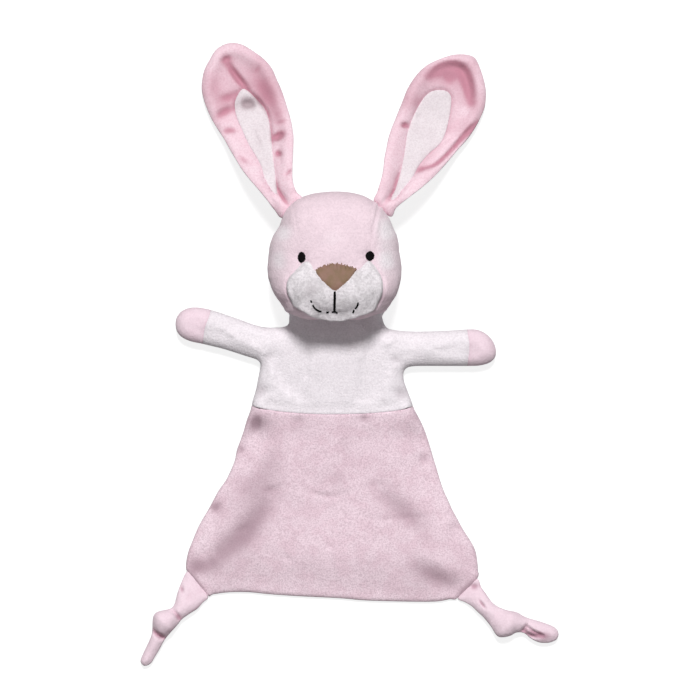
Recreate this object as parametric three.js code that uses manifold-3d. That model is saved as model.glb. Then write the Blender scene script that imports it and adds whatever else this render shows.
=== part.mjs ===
// Comfort blanket: a rabbit's head and arms on a velour blanket with two knotted corner tails.
// It lies on its back. +X is to its left as it faces up, +Y towards the ears, +Z up off the surface.
// The origin is under the middle of the body, on the surface that it lies on.
import * as THREE from "three";
import { mergeVertices } from "three/addons/utils/BufferGeometryUtils.js";
import Module from "manifold-3d";

const wasm = await Module();
wasm.setup();

// Cloth, clearances and cutters
const gap = 0.3;
const velour = 1.8;
const restDip = 0.5;
const overrun = 6;
const thread = 1.1;

// Seams that fold are thin: half the thickness of each, which is also the radius that it turns on
const waistSeam = 2.1;
const neckSeam = 2.5;
const shoulderSeam = 2.4;
const earSeam = 2.2;
const tailSeam = 1.9;

// Body
const bodyHalfWidth = 45.5;
const bodyThickness = 15;
const waistY = -22.5;
const neckY = 30;
const neckZ = 7;
const neckHalfWidth = 25;
// Along the body from waist to neck: place, half width, half thickness and height of the middle
const bodyShares = [
  [0, 0.99, 0.3, 0.3],
  [0.06, 0.98, 0.55, 0.5],
  [0.14, 0.955, 0.8, 0.8],
  [0.28, 0.91, 0.97, 0.97],
  [0.42, 0.88, 1, 1],
  [0.56, 0.865, 1, 1],
  [0.7, 0.87, 0.86, 1],
  [0.8, 0.87, 0.66, 1],
  [0.87, 0.8, 0.52, 1],
  [0.93, 0.62, 0.42, 1],
  [1, 0.55, 0.34, 1],
];

// Head
const headHalfWidth = 37;
const crownRise = 41.8;
const chinDrop = 29.7;
const headY = 56.6;
const faceDepth = 26;
const napeDepth = 25.5;
const headRoundness = 2.4;
const muzzleHalfWidth = 25.9;
const muzzleHeight = 33;
const muzzleY = 27.3;
const cheekSpread = 10.4;
const cheekY = 43.6;
const cheekZ = 35;
const cheekHalfWidth = 15.8;
const cheekHalfHeight = 16.6;
const cheekPuff = 21;
const eyeX = 18.8;
const eyeY = 62.9;
const eyeWidth = 4.6;
const eyeHeight = 5.4;
const noseWidth = 21.5;
const noseHeight = 16;
const noseY = 44;
const stitchWidth = 1.3;
const mouthTop = 43;
const mouthLength = 10;
const smileWidth = 26;
const smileRise = 6.8;
const smileY = 31;
const gussetHalfWidth = 22.8;
// Half of the crown gusset from the crown down to the nose, shares of half width and height
const gussetShares = [
  [1, 1],
  [0.98, 0.625],
  [0.9, 0.375],
  [0.77, 0.18],
  [0.62, 0],
];
// Half of the nose from its top down to its point, shares of width and height
const noseShares = [
  [0, 1],
  [0.3, 0.93],
  [0.48, 0.74],
  [0.36, 0.42],
  [0.1, 0.05],
  [0, 0],
];
// Half of the muzzle seam from the nose down to the chin, shares of half width and height
const muzzleShares = [
  [0, 1],
  [0.22, 0.97],
  [0.41, 0.87],
  [0.6, 1],
  [0.76, 0.96],
  [0.9, 0.82],
  [0.99, 0.62],
  [0.99, 0.46],
  [0.92, 0.3],
  [0.74, 0.2],
  [0.45, 0.11],
  [0.2, 0.05],
  [0, 0.04],
];

// Ears: each lies out from its own seam on the crown, cupped, and droops to the surface.
// The middle of the seam is in shares of the head, its outline in shares of the length.
const earLength = 95;
const ears = [
  {
    side: "left",
    sign: -1,
    seamShares: [-0.7108, 0.8589],
    seamWay: [-0.52, 0.854],
    lean: [-0.299, 0.954],
    length: earLength,
    outer: [0.07, 0.075, 0.14, 0.205, 0.25, 0.285, 0.3, 0.292, 0.262, 0.165, 0.06],
    inner: [0.06, 0.065, 0.09, 0.13, 0.17, 0.182, 0.175, 0.162, 0.12, 0.035, -0.03],
  },
  {
    side: "right",
    sign: 1,
    seamShares: [0.8081, 0.7895],
    seamWay: [0.6, 0.8],
    lean: [0.433, 0.901],
    length: 0.98 * earLength,
    outer: [0.06, 0.08, 0.125, 0.175, 0.215, 0.245, 0.268, 0.27, 0.245, 0.19, 0.1],
    inner: [0.06, 0.075, 0.115, 0.155, 0.185, 0.195, 0.2, 0.2, 0.17, 0.11, 0.0],
  },
];
const earPlaceShares = [0, 0.07, 0.17, 0.28, 0.4, 0.52, 0.64, 0.76, 0.87, 0.95, 1];
const earZ = 25;
const earRestZ = 1.5;
const earDroopShare = 0.62;
const earCup = 7;
const earCupShares = [0.07, 0.4];
const earCupFadeShare = 0.6;
const earTurnShare = 0.2;
const earStartShare = -0.03;
const earAcrossShares = [-1, -0.72, -0.36, 0, 0.36, 0.72, 1];
const innerWidthShare = 0.66;
const innerStartShare = 0.13;
const innerEndShare = 0.86;

// Arms: a white sleeve and a pink mitt round one filling
const armLength = 52;
const armY = 15;
const arms = [
  { side: "left", sign: -1, seamShare: -0.93, seamY: armY, lean: [-0.978, 0.207], length: armLength },
  {
    side: "right",
    sign: 1,
    seamShare: 0.925,
    seamY: 0.9 * armY,
    lean: [1, -0.01],
    length: 0.943 * armLength,
  },
];
const armHalfWidth = 10;
const armHalfThickness = 7.2;
const armZ = 6.7;
const cuffShare = 0.64;
const armPlaceShares = [-0.05, 0.04, 0.1, 0.18, 0.3, 0.48, 0.64, 0.78, 0.88, 0.95, 1];
const armWidthShares = [0.93, 0.93, 0.93, 0.93, 0.93, 0.96, 1, 1.04, 0.98, 0.72, 0.3];
const armThicknessShares = [0.32, 0.38, 0.58, 0.8, 0.96, 1, 1, 1, 0.93, 0.7, 0.3];

// Blanket
const blanketLength = 104;
const blanketHalfWidth = 80;
const blanketHalfShares = [0, 0.16, 0.315, 0.463, 0.6, 0.72, 0.823, 0.905, 0.965, 1];
const blanketOuterShares = blanketHalfShares.slice(1).reverse();
const blanketAcrossShares = [...blanketOuterShares.map((share) => -share), ...blanketHalfShares];
const blanketAlongShares = [
  0, 0.03, 0.07, 0.12, 0.2, 0.28, 0.36, 0.44, 0.52, 0.6, 0.68, 0.76, 0.84, 0.9, 0.95, 1,
];
const blanketPlaceShares = [0, 0.1, 0.2, 0.31, 0.42, 0.53, 0.64, 0.75, 0.83, 0.88, 1];
const leftEdgeShares = [0.575, 0.615, 0.665, 0.71, 0.785, 0.865, 0.94, 0.99, 1.005, 1.005, 0.86];
const rightEdgeShares = [0.56, 0.62, 0.665, 0.71, 0.75, 0.81, 0.885, 0.96, 0.98, 0.984, 0.846];
const cornerShare = 0.88;
const hemBow = 1;
const hemSkew = 1.5;
const blanketPuff = 5;
const puffStartShare = 0.3;
const leastPuffShare = 0.1;
const foldDepth = 2.8;
const foldWidth = 8;
// Folds from their outer to their inner end: shares of the half width and of the length
const foldShares = [
  [-0.98, 0.86, -0.45, 0.61],
  [0.86, 0.93, 0.42, 0.61],
  [-0.9, 0.17, -0.42, 0.1],
  [0.8, 0.32, 0.5, 0.24],
  [-0.28, 0.5, 0.22, 0.54],
];

// Tails: a tube sewn over each lower corner and tied in an overhand knot.
// From the corner to the knot and on to the tip, in shares of the two reaches.
const knotReach = 25;
const tipReach = 26;
const tipHalfWidth = 4.8;
const tails = [
  {
    side: "left",
    sign: -1,
    knotShares: [-0.656, -0.7577],
    heading: -117,
    tipShares: [-0.4846, -0.8923],
    tipHalfWidth: 0.8 * tipHalfWidth,
  },
  {
    side: "right",
    sign: 1,
    knotShares: [0.8137, -0.7194],
    heading: -36,
    tipShares: [0.9346, -0.2308],
    tipHalfWidth,
  },
];
const tailTube = 3.3;
const tailSwell = 1;
const knotPitch = 3.8;
const knotRingShare = 1.2;
const knotWindShare = 0.5;
const knotHeightShare = 0.9;
const knotDriftShare = -1.2;
const tipFlatShare = 0.75;
const tipGrowShare = 0.45;
const tipRoundShares = [0.6, 0.42];
const leastTipShare = 0.05;
const leadPullShare = 0.385;
const tubeSides = 8;
const knotSteps = 40;
const mitreLimit = 0.5;

// Solid work: joins and cuts

function solidOf(geometry) {
  const bare = geometry.clone();
  bare.deleteAttribute("normal");
  bare.deleteAttribute("uv");
  const merged = mergeVertices(bare);
  return new wasm.Manifold(
    new wasm.Mesh({
      numProp: 3,
      vertProperties: new Float32Array(merged.attributes.position.array),
      triVerts: new Uint32Array(merged.index.array),
    }),
  );
}

function geometryOf(solid) {
  const mesh = solid.getMesh();
  const geometry = new THREE.BufferGeometry();
  geometry.setAttribute("position", new THREE.BufferAttribute(mesh.vertProperties, 3));
  geometry.setIndex(new THREE.BufferAttribute(mesh.triVerts, 1));
  geometry.computeVertexNormals();
  return geometry;
}

// Turns a skin's triangles round if they face inwards.
function facingOut(positions, indices) {
  const corner = (i) => new THREE.Vector3().fromArray(positions, 3 * i);
  let volume = 0;
  for (let i = 0; i < indices.length; i += 3) {
    const [a, b, c] = [0, 1, 2].map((k) => corner(indices[i + k]));
    volume += a.dot(b.cross(c));
  }
  if (volume < 0) indices.reverse();
  const geometry = new THREE.BufferGeometry();
  geometry.setAttribute("position", new THREE.BufferAttribute(new Float32Array(positions), 3));
  geometry.setIndex(indices);
  return geometry;
}

// A closed skin over rings of equal count; each end closes on the middle of its ring.
function loft(rings) {
  const sides = rings[0].length;
  const positions = rings.flat().flatMap((p) => p.toArray());
  const indices = [];
  for (let r = 0; r + 1 < rings.length; r++)
    for (let s = 0; s < sides; s++) {
      const [a, b] = [r * sides + s, r * sides + ((s + 1) % sides)];
      indices.push(a, b, b + sides, a, b + sides, a + sides);
    }
  for (const [r, turn] of [
    [0, 1],
    [rings.length - 1, 0],
  ]) {
    const middle = rings[r].reduce((sum, p) => sum.add(p), new THREE.Vector3());
    const centre = positions.length / 3;
    positions.push(...middle.divideScalar(sides).toArray());
    for (let s = 0; s < sides; s++) {
      const [a, b] = [r * sides + s, r * sides + ((s + 1) % sides)];
      indices.push(...(turn ? [centre, b, a] : [centre, a, b]));
    }
  }
  return solidOf(facingOut(positions, indices));
}

// One ring of a stuffed section: halves across and up may differ, power 2 is an ellipse.
function section(at, across, up, { wide, high, low = high, sides = 16, power = 2 }) {
  return Array.from({ length: sides }, (_, k) => {
    const turn = (2 * Math.PI * k) / sides;
    const [c, s] = [Math.cos(turn), Math.sin(turn)];
    const x = Math.sign(c) * Math.abs(c) ** (2 / power) * wide;
    const z = Math.sign(s) * Math.abs(s) ** (2 / power) * (s > 0 ? high : low);
    return at.clone().addScaledVector(across, x).addScaledVector(up, z);
  });
}

// A sheet of cloth over a grid: surface(u, v) is its lower face, thick its thickness along +Z.
function sheet(across, along, surface, thick) {
  const lower = along.map((v) => across.map((u) => surface(u, v)));
  const upper = along.map((v) => across.map((u) => surface(u, v).addScaledVector(AXIS.z, thick)));
  const [rows, columns] = [along.length, across.length];
  const positions = [lower, upper].flat(2).flatMap((p) => p.toArray());
  const [last, end] = [rows - 1, columns - 1];
  const id = (top, r, c) => (top * rows + r) * columns + c;
  const indices = [];
  const quad = (a, b, c, d) => indices.push(a, b, c, a, c, d);
  for (let r = 0; r + 1 < rows; r++)
    for (let c = 0; c + 1 < columns; c++) {
      quad(id(1, r, c), id(1, r, c + 1), id(1, r + 1, c + 1), id(1, r + 1, c));
      quad(id(0, r, c), id(0, r + 1, c), id(0, r + 1, c + 1), id(0, r, c + 1));
    }
  for (let c = 0; c + 1 < columns; c++) {
    quad(id(0, 0, c), id(0, 0, c + 1), id(1, 0, c + 1), id(1, 0, c));
    quad(id(0, last, c + 1), id(0, last, c), id(1, last, c), id(1, last, c + 1));
  }
  for (let r = 0; r + 1 < rows; r++) {
    quad(id(0, r + 1, 0), id(0, r, 0), id(1, r, 0), id(1, r + 1, 0));
    quad(id(0, r, end), id(0, r + 1, end), id(1, r + 1, end), id(1, r, end));
  }
  return solidOf(facingOut(positions, indices));
}

const AXIS = {
  x: new THREE.Vector3(1, 0, 0),
  y: new THREE.Vector3(0, 1, 0),
  z: new THREE.Vector3(0, 0, 1),
};
const flat = ([x, y], z = 0) => new THREE.Vector3(x, y, z);
const reach = 2 * blanketLength;

// A box between two corners.
function block(low, high) {
  const size = new THREE.Vector3().subVectors(high, low);
  const box = new THREE.BoxGeometry(size.x, size.y, size.z);
  box.translate((low.x + high.x) / 2, (low.y + high.y) / 2, (low.z + high.z) / 2);
  return solidOf(box);
}

// A prism from z = 0 up through everything, over an outline of [x, y] points.
function prism(points) {
  const outline = new THREE.Shape(points.map(([x, y]) => new THREE.Vector2(x, y)));
  return solidOf(new THREE.ExtrudeGeometry(outline, { depth: reach, bevelEnabled: false }));
}

// An outline moved outwards by a distance, point by point.
function grown(points, distance) {
  const area = points.reduce((sum, [x, y], i) => {
    const [nx, ny] = points[(i + 1) % points.length];
    return sum + x * ny - nx * y;
  }, 0);
  const turn = Math.sign(area);
  return points.map(([x, y], i) => {
    const [ax, ay] = points[(i + points.length - 1) % points.length];
    const [bx, by] = points[(i + 1) % points.length];
    const before = new THREE.Vector2(y - ay, ax - x).normalize();
    const after = new THREE.Vector2(by - y, x - bx).normalize();
    const mean = before.clone().add(after).normalize();
    const step = (turn * distance) / Math.max(mean.dot(after), mitreLimit);
    return [x + mean.x * step, y + mean.y * step];
  });
}

// A smooth closed outline through a few points.
function smooth(points, count) {
  const curve = new THREE.CatmullRomCurve3(points.map((p) => flat(p)), true, "centripetal");
  return curve.getPoints(count).slice(0, -1).map((p) => [p.x, p.y]);
}

const lowest = new THREE.Vector3(-reach, -reach, -reach);
const highest = new THREE.Vector3(reach, reach, reach);
const below = (z) => block(lowest, highest.clone().setZ(z));
const above = (z) => block(lowest.clone().setZ(z), highest);
const leftOf = (x) => block(lowest, highest.clone().setX(x));
const rightOf = (x) => block(lowest.clone().setX(x), highest);
const surfaceBelow = below(0);

// A folding seam: a rod along it, and the rounded root of what hangs from it.
function rod(at, outward, radius, halfLength) {
  const bar = new THREE.CylinderGeometry(radius, radius, 2 * halfLength, 16);
  const along = new THREE.Vector3().crossVectors(outward, AXIS.z);
  bar.applyQuaternion(new THREE.Quaternion().setFromUnitVectors(AXIS.y, along));
  bar.translate(at.x, at.y, at.z);
  return solidOf(bar);
}

function beyondSeam(at, outward, radius, halfLength) {
  const room = new THREE.BoxGeometry(reach, reach, reach);
  room.translate(reach / 2, 0, 0);
  room.applyQuaternion(new THREE.Quaternion().setFromUnitVectors(AXIS.x, outward));
  room.translate(at.x, at.y, at.z);
  return solidOf(room).add(rod(at, outward, radius, halfLength));
}

// Body: a front and a back panel round its filling

const bodyStart = waistY + waistSeam + gap;
const bodyEnd = neckY + neckSeam;

function bodyForm(inset) {
  const halfThickness = bodyThickness / 2;
  const rings = bodyShares.map(([place, width, thickness, height]) => {
    const y = Math.max(THREE.MathUtils.lerp(bodyStart, neckY, place), bodyStart + inset);
    const wide = width * bodyHalfWidth - inset;
    const high = Math.max(thickness * halfThickness, waistSeam) * (1 - inset / halfThickness);
    const z = Math.max(height * neckZ, waistSeam);
    return section(new THREE.Vector3(0, y, z), AXIS.x, AXIS.z, { wide, high, sides: 28, power: 2.2 });
  });
  for (const turn of [Math.PI / 6, Math.PI / 3]) {
    const high = (neckSeam - inset / 2) * Math.cos(turn);
    const y = neckY + (neckSeam - inset / 2) * Math.sin(turn);
    const wide = neckHalfWidth - inset - (neckSeam - high) / 2;
    const at = new THREE.Vector3(0, y, neckZ);
    rings.push(section(at, AXIS.x, AXIS.z, { wide, high, sides: 28, power: 2.2 }));
  }
  return loft(rings).subtract(surfaceBelow.translate([0, 0, inset]));
}

// Head: a rounded form with two puffed cheeks, under panels that meet at seams

function headForm(inset) {
  const stations = 12;
  const rings = [];
  for (let k = 1; k < stations; k++) {
    const turn = -Math.PI / 2 + (Math.PI * k) / stations;
    const [c, s] = [Math.cos(turn), Math.sin(turn)];
    const share = c ** (2 / headRoundness);
    const rise = (s > 0 ? crownRise : chinDrop) - inset;
    const y = headY + Math.sign(s) * Math.abs(s) ** (2 / headRoundness) * rise;
    rings.push(
      section(new THREE.Vector3(0, y, napeDepth - restDip), AXIS.x, AXIS.z, {
        wide: (headHalfWidth - inset) * share,
        high: (faceDepth - inset) * share,
        low: (napeDepth - inset) * share,
        sides: 24,
        power: headRoundness,
      }),
    );
  }
  let form = loft(rings);
  for (const sign of [-1, 1]) {
    const cheek = new THREE.SphereGeometry(1, 18, 12);
    cheek.rotateX(Math.PI / 2);
    cheek.scale(cheekHalfWidth - inset, cheekHalfHeight - inset, cheekPuff - inset);
    cheek.translate(sign * cheekSpread, cheekY, cheekZ);
    form = form.add(solidOf(cheek));
  }
  return form.subtract(surfaceBelow.translate([0, 0, Math.max(inset, 0)]));
}

const mirrored = (half) => [
  ...half,
  ...half
    .slice(1, -1)
    .reverse()
    .map(([x, y]) => [-x, y]),
];

const muzzleOutline = mirrored(
  muzzleShares.map(([x, y]) => [x * muzzleHalfWidth, muzzleY + y * muzzleHeight]),
);
const gussetTop = headY + crownRise + overrun;
const gussetFoot = cheekY + cheekHalfHeight / 2;
const gussetOutline = mirrored([
  [0, gussetTop],
  ...gussetShares.map(([x, y]) => [x * gussetHalfWidth, THREE.MathUtils.lerp(gussetFoot, gussetTop, y)]),
  [0, gussetFoot],
]);
const earSeat = ({ seamShares: [x, y], seamWay }) => ({
  at: new THREE.Vector3(x * headHalfWidth, headY + y * crownRise, earZ),
  outward: flat(seamWay).normalize(),
});

const neckRod = rod(new THREE.Vector3(0, neckY, neckZ), AXIS.y, neckSeam + gap, neckHalfWidth + overrun);
let seats = neckRod;
for (const ear of ears) {
  const { at, outward } = earSeat(ear);
  seats = seats.add(rod(at, outward, earSeam + gap, ear.outer[0] * ear.length + earSeam));
}

const headShell = headForm(0).subtract(headForm(velour)).subtract(seats);
const sideSeamZ = napeDepth - restDip;
const face = headShell.intersect(above(sideSeamZ + gap / 2));
const nape = headShell.intersect(below(sideSeamZ - gap / 2));
const muzzleHole = prism(grown(muzzleOutline, gap));
const gussetHole = prism(grown(gussetOutline, gap));
const faceSides = face.subtract(muzzleHole).subtract(gussetHole);

// Satin stitch: a raised patch of thread laid over the panels
const threadShell = headForm(-gap - thread).subtract(headForm(-gap));
const patch = (outline) => threadShell.intersect(prism(outline)).intersect(above(sideSeamZ));

const ovalSides = 14;
const oval = (x, y, width, height) =>
  Array.from({ length: ovalSides }, (_, k) => {
    const turn = (2 * Math.PI * k) / ovalSides;
    return [x + (width / 2) * Math.cos(turn), y + (height / 2) * Math.sin(turn)];
  });
const noseSides = 28;
const noseOutline = smooth(
  mirrored(noseShares.map(([x, y]) => [x * noseWidth, noseY + y * noseHeight])),
  noseSides,
);
const smileSteps = 10;
const smileEdge = (grow) =>
  Array.from({ length: smileSteps + 1 }, (_, k) => {
    const share = (2 * k) / smileSteps - 1;
    return [(share * smileWidth) / 2, smileY + smileRise * share * share + grow];
  });
const smileOutline = [...smileEdge(0), ...smileEdge(stitchWidth).reverse()];
const uprightOutline = [
  [-stitchWidth / 2, mouthTop - mouthLength],
  [stitchWidth / 2, mouthTop - mouthLength],
  [stitchWidth / 2, mouthTop],
  [-stitchWidth / 2, mouthTop],
];

// Ears

function earSheet(ear, { from, to, narrow, level }) {
  const { at, outward } = earSeat(ear);
  const rootAcross = new THREE.Vector3().crossVectors(outward, AXIS.z).multiplyScalar(ear.sign);
  const lean = flat(ear.lean);
  const tipAcross = new THREE.Vector3().crossVectors(lean, AXIS.z).multiplyScalar(ear.sign);
  const pick = (list, v) => {
    const last = earPlaceShares.length - 1;
    let k = 0;
    while (k < last - 1 && earPlaceShares[k + 1] < v) k++;
    const t = (v - earPlaceShares[k]) / (earPlaceShares[k + 1] - earPlaceShares[k]);
    return THREE.MathUtils.lerp(list[k], list[k + 1], t);
  };
  const along = earPlaceShares.filter((v) => v > from && v < to);
  along.unshift(from);
  along.push(to);
  const bottom = (u, v) => {
    const turn = THREE.MathUtils.smoothstep(v, 0, earTurnShare);
    const side = rootAcross.clone().lerp(tipAcross, turn).normalize();
    const bulge = Math.sqrt(Math.max(Math.sin((Math.PI * (v - from)) / (to - from)), 0));
    const taper = narrow * (narrow < 1 ? bulge : 1);
    const middle = (pick(ear.outer, Math.max(v, 0)) - pick(ear.inner, Math.max(v, 0))) / 2;
    const half = (pick(ear.outer, Math.max(v, 0)) + pick(ear.inner, Math.max(v, 0))) / 2;
    const drop = THREE.MathUtils.smoothstep(v, 0, earDroopShare);
    const cup = earCup * THREE.MathUtils.smoothstep(v, ...earCupShares) * (1 - earCupFadeShare * v);
    const q = u * taper;
    return at
      .clone()
      .addScaledVector(lean, v * ear.length)
      .addScaledVector(side, (middle + q * half) * ear.length)
      .setZ(THREE.MathUtils.lerp(earZ, earRestZ, drop) + cup * q * q + level);
  };
  return sheet(earAcrossShares, along, bottom, velour);
}

// Arms

const armSeat = ({ seamShare, seamY }) => new THREE.Vector3(seamShare * bodyHalfWidth, seamY, armZ);

function armForm(arm, inset) {
  const lean = flat(arm.lean);
  const across = new THREE.Vector3().crossVectors(lean, AXIS.z);
  const rings = armPlaceShares.map((place, k) => {
    const at = armSeat(arm).addScaledVector(lean, place * arm.length - inset * Math.sign(place - 0.5));
    const wide = (armHalfWidth - inset) * armWidthShares[k];
    const high = (armHalfThickness - inset) * armThicknessShares[k];
    return section(at, across, AXIS.z, { wide, high, sides: 16, power: 2.3 });
  });
  return loft(rings).subtract(surfaceBelow.translate([0, 0, inset]));
}

// Blanket

const pickEdge = (list, v) => {
  let k = 0;
  while (k < blanketPlaceShares.length - 2 && blanketPlaceShares[k + 1] < v) k++;
  const t = (v - blanketPlaceShares[k]) / (blanketPlaceShares[k + 1] - blanketPlaceShares[k]);
  return THREE.MathUtils.lerp(list[k], list[k + 1], t);
};

function blanketPoint(u, v) {
  const edge = u < 0 ? leftEdgeShares : rightEdgeShares;
  const length = blanketLength + hemSkew * u + hemBow * (1 - u * u);
  return new THREE.Vector3(u * pickEdge(edge, v) * blanketHalfWidth, waistY + waistSeam - v * length, 0);
}

function foldAt(x, y) {
  let depth = 0;
  for (const [ax, ay, bx, by] of foldShares) {
    const a = new THREE.Vector2(ax * blanketHalfWidth, waistY - ay * blanketLength);
    const b = new THREE.Vector2(bx * blanketHalfWidth, waistY - by * blanketLength);
    const p = new THREE.Vector2(x, y);
    const run = b.clone().sub(a);
    const t = THREE.MathUtils.clamp(p.clone().sub(a).dot(run) / run.lengthSq(), 0, 1);
    const far = p.distanceTo(a.addScaledVector(run, t)) / foldWidth;
    depth += foldDepth * Math.exp(-far * far) * (1 - t * t);
  }
  return depth;
}

function blanketLift(u, v) {
  const p = blanketPoint(u, v);
  const fromSides = Math.sqrt(Math.max(1 - u ** 4, 0));
  const fromHem = Math.sqrt(Math.max(1 - v ** 6, 0));
  const rise = fromSides * fromHem * THREE.MathUtils.smoothstep(v, 0, puffStartShare);
  return rise * Math.max(blanketPuff - foldAt(p.x, p.y), leastPuffShare * blanketPuff);
}

// Tails

// The corner that a tail is sewn over: the middle of its seam, the way out of it and half its width.
function cornerSeam(sign) {
  const [a, b] = [blanketPoint(sign, cornerShare), blanketPoint(sign, 1)];
  const run = b.clone().sub(a);
  const outward = new THREE.Vector3(-run.y, run.x, 0).normalize().multiplyScalar(sign);
  const at = a.add(b).multiplyScalar(0.5).addScaledVector(outward, tailSeam + gap);
  return { at: at.setZ(tailSeam), outward, halfWidth: run.length() / 2 };
}

function knotPath(knot, along) {
  const outward = new THREE.Vector3().crossVectors(AXIS.z, along);
  const height = knotHeightShare * knotPitch + tailTube / 2 - restDip;
  return (t) => {
    const angle = 2 * Math.PI * t;
    const ring = (knotRingShare + knotWindShare * Math.cos(3 * angle)) * knotPitch;
    const drift = knotDriftShare * Math.sign(t - 0.5) * Math.abs(2 * t - 1) ** 3;
    return knot
      .clone()
      .setZ(height)
      .addScaledVector(outward, ring * Math.cos(2 * angle))
      .addScaledVector(along, ring * Math.sin(2 * angle))
      .addScaledVector(AXIS.z, (knotHeightShare * Math.sin(3 * angle) + drift / 2) * knotPitch);
  };
}

function tailForm(tail) {
  const turn = THREE.MathUtils.degToRad(tail.heading);
  const heading = new THREE.Vector3(Math.cos(turn), Math.sin(turn), 0);
  const { at: root, outward, halfWidth } = cornerSeam(tail.sign);
  const knot = root.clone().addScaledVector(flat(tail.knotShares), knotReach);
  const path = knotPath(knot, heading);
  const knotPoints = Array.from({ length: knotSteps + 1 }, (_, k) => path(k / knotSteps));
  const start = root.clone().addScaledVector(outward, -tailSeam);
  const enter = knotPoints[0];
  const leave = knotPoints[knotSteps];
  const tip = knot
    .clone()
    .addScaledVector(flat(tail.tipShares), tipReach)
    .setZ(tail.tipHalfWidth * tipFlatShare);
  const lead = (a, aWay, b, bWay, count) => {
    const pull = a.distanceTo(b) * leadPullShare;
    const curve = new THREE.CubicBezierCurve3(
      a,
      a.clone().addScaledVector(aWay, pull),
      b.clone().addScaledVector(bWay, -pull),
      b,
    );
    return curve.getPoints(count);
  };
  const before = lead(root, outward, enter, heading, 8).slice(0, -1);
  const after = lead(leave, heading, tip, tip.clone().sub(leave).setZ(0).normalize(), 7).slice(1);
  const points = [start, ...before, ...knotPoints, ...after];
  const shape = (k) => {
    const inKnot = k - 1 - before.length;
    if (k < 1) return [halfWidth, tailSeam];
    if (inKnot < 0) {
      const t = (k - 1) / before.length;
      const swell = Math.sin(Math.PI * t) ** 2 * tailSwell;
      const wide = THREE.MathUtils.lerp(halfWidth, tailTube / 2, t ** 0.8);
      return [wide, THREE.MathUtils.lerp(tailSeam, tailTube / 2, t) + swell];
    }
    if (inKnot <= knotSteps) return [tailTube / 2, tailTube / 2];
    const t = (inKnot - knotSteps) / after.length;
    const past = Math.max(t - tipRoundShares[0], 0) / tipRoundShares[1];
    const end = Math.sqrt(Math.max(1 - past ** 2, leastTipShare));
    const grow = Math.min(1, t / tipGrowShare);
    return [
      THREE.MathUtils.lerp(tailTube / 2, tail.tipHalfWidth, grow) * end,
      THREE.MathUtils.lerp(tailTube / 2, tail.tipHalfWidth * tipFlatShare, grow) * end,
    ];
  };
  const rings = points.map((at, k) => {
    const [last, next] = [Math.max(k - 1, 0), Math.min(k + 1, points.length - 1)];
    const way = points[next].clone().sub(points[last]).normalize();
    const across = new THREE.Vector3().crossVectors(way, AXIS.z).normalize();
    const up = new THREE.Vector3().crossVectors(across, way);
    const [wide, high] = shape(k);
    return section(at, across, up, { wide, high, sides: tubeSides });
  });
  let least = Infinity;
  const apart = Math.round((3 * tailTube) / knotPoints[0].distanceTo(knotPoints[1]));
  knotPoints.forEach((p, i) =>
    knotPoints.slice(i + apart).forEach((q) => {
      least = Math.min(least, p.distanceTo(q) - tailTube);
    }),
  );
  console.log(`tail_${tail.side}: least gap of the knotted tube to itself ${least.toFixed(2)} mm`);
  return loft(rings)
    .subtract(surfaceBelow)
    .intersect(beyondSeam(root, outward, tailSeam, halfWidth + overrun));
}

// Assembly

const finishes = {
  pinkVelour: { color: 0xf0d6e0, roughness: 0.95 },
  whiteVelour: { color: 0xf2eef0, roughness: 0.95 },
  filling: { color: 0xfafafa, roughness: 1 },
  noseThread: { color: 0x937865, roughness: 0.6 },
  blackThread: { color: 0x1d191b, roughness: 0.5 },
};
const materials = Object.fromEntries(
  Object.entries(finishes).map(([name, finish]) => [
    name,
    new THREE.MeshStandardMaterial({ name, metalness: 0, ...finish }),
  ]),
);

const toy = new THREE.Group();
toy.name = "comfort_blanket";

function piece(group, name, solid, material) {
  const mesh = new THREE.Mesh(geometryOf(solid), material);
  mesh.name = name;
  group.add(mesh);
}

const torso = new THREE.Group();
let armSeats;
for (const arm of arms) {
  const outward = AXIS.x.clone().multiplyScalar(arm.sign);
  const seat = rod(armSeat(arm), outward, shoulderSeam + gap, armHalfWidth + overrun);
  armSeats = armSeats ? armSeats.add(seat) : seat;
}
const bodyShell = bodyForm(0).subtract(bodyForm(velour)).subtract(armSeats);
piece(torso, "torso_front_panel", bodyShell.intersect(above(neckZ + gap / 2)), materials.whiteVelour);
piece(torso, "torso_back_panel", bodyShell.intersect(below(neckZ - gap / 2)), materials.whiteVelour);
piece(torso, "torso_stuffing", bodyForm(velour + 3 * gap).subtract(armSeats), materials.filling);
toy.add(torso);

const head = new THREE.Group();
const gusset = face.intersect(prism(gussetOutline)).subtract(muzzleHole);
piece(head, "head_crown_gusset", gusset, materials.pinkVelour);
piece(head, "head_side_left", faceSides.intersect(leftOf(-gap / 2)), materials.pinkVelour);
piece(head, "head_side_right", faceSides.intersect(rightOf(gap / 2)), materials.pinkVelour);
piece(head, "head_back_left", nape.intersect(leftOf(-gap / 2)), materials.pinkVelour);
piece(head, "head_back_right", nape.intersect(rightOf(gap / 2)), materials.pinkVelour);
piece(head, "muzzle", face.intersect(prism(muzzleOutline)), materials.whiteVelour);
piece(head, "head_stuffing", headForm(velour + gap).subtract(seats), materials.filling);
piece(head, "nose", patch(noseOutline), materials.noseThread);
piece(head, "eye_left", patch(oval(-eyeX, eyeY, eyeWidth, eyeHeight)), materials.blackThread);
piece(head, "eye_right", patch(oval(eyeX, eyeY, eyeWidth, eyeHeight)), materials.blackThread);
piece(head, "mouth_smile_stitch", patch(smileOutline), materials.blackThread);
piece(head, "mouth_centre_stitch", patch(uprightOutline), materials.blackThread);
toy.add(head);

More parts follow.
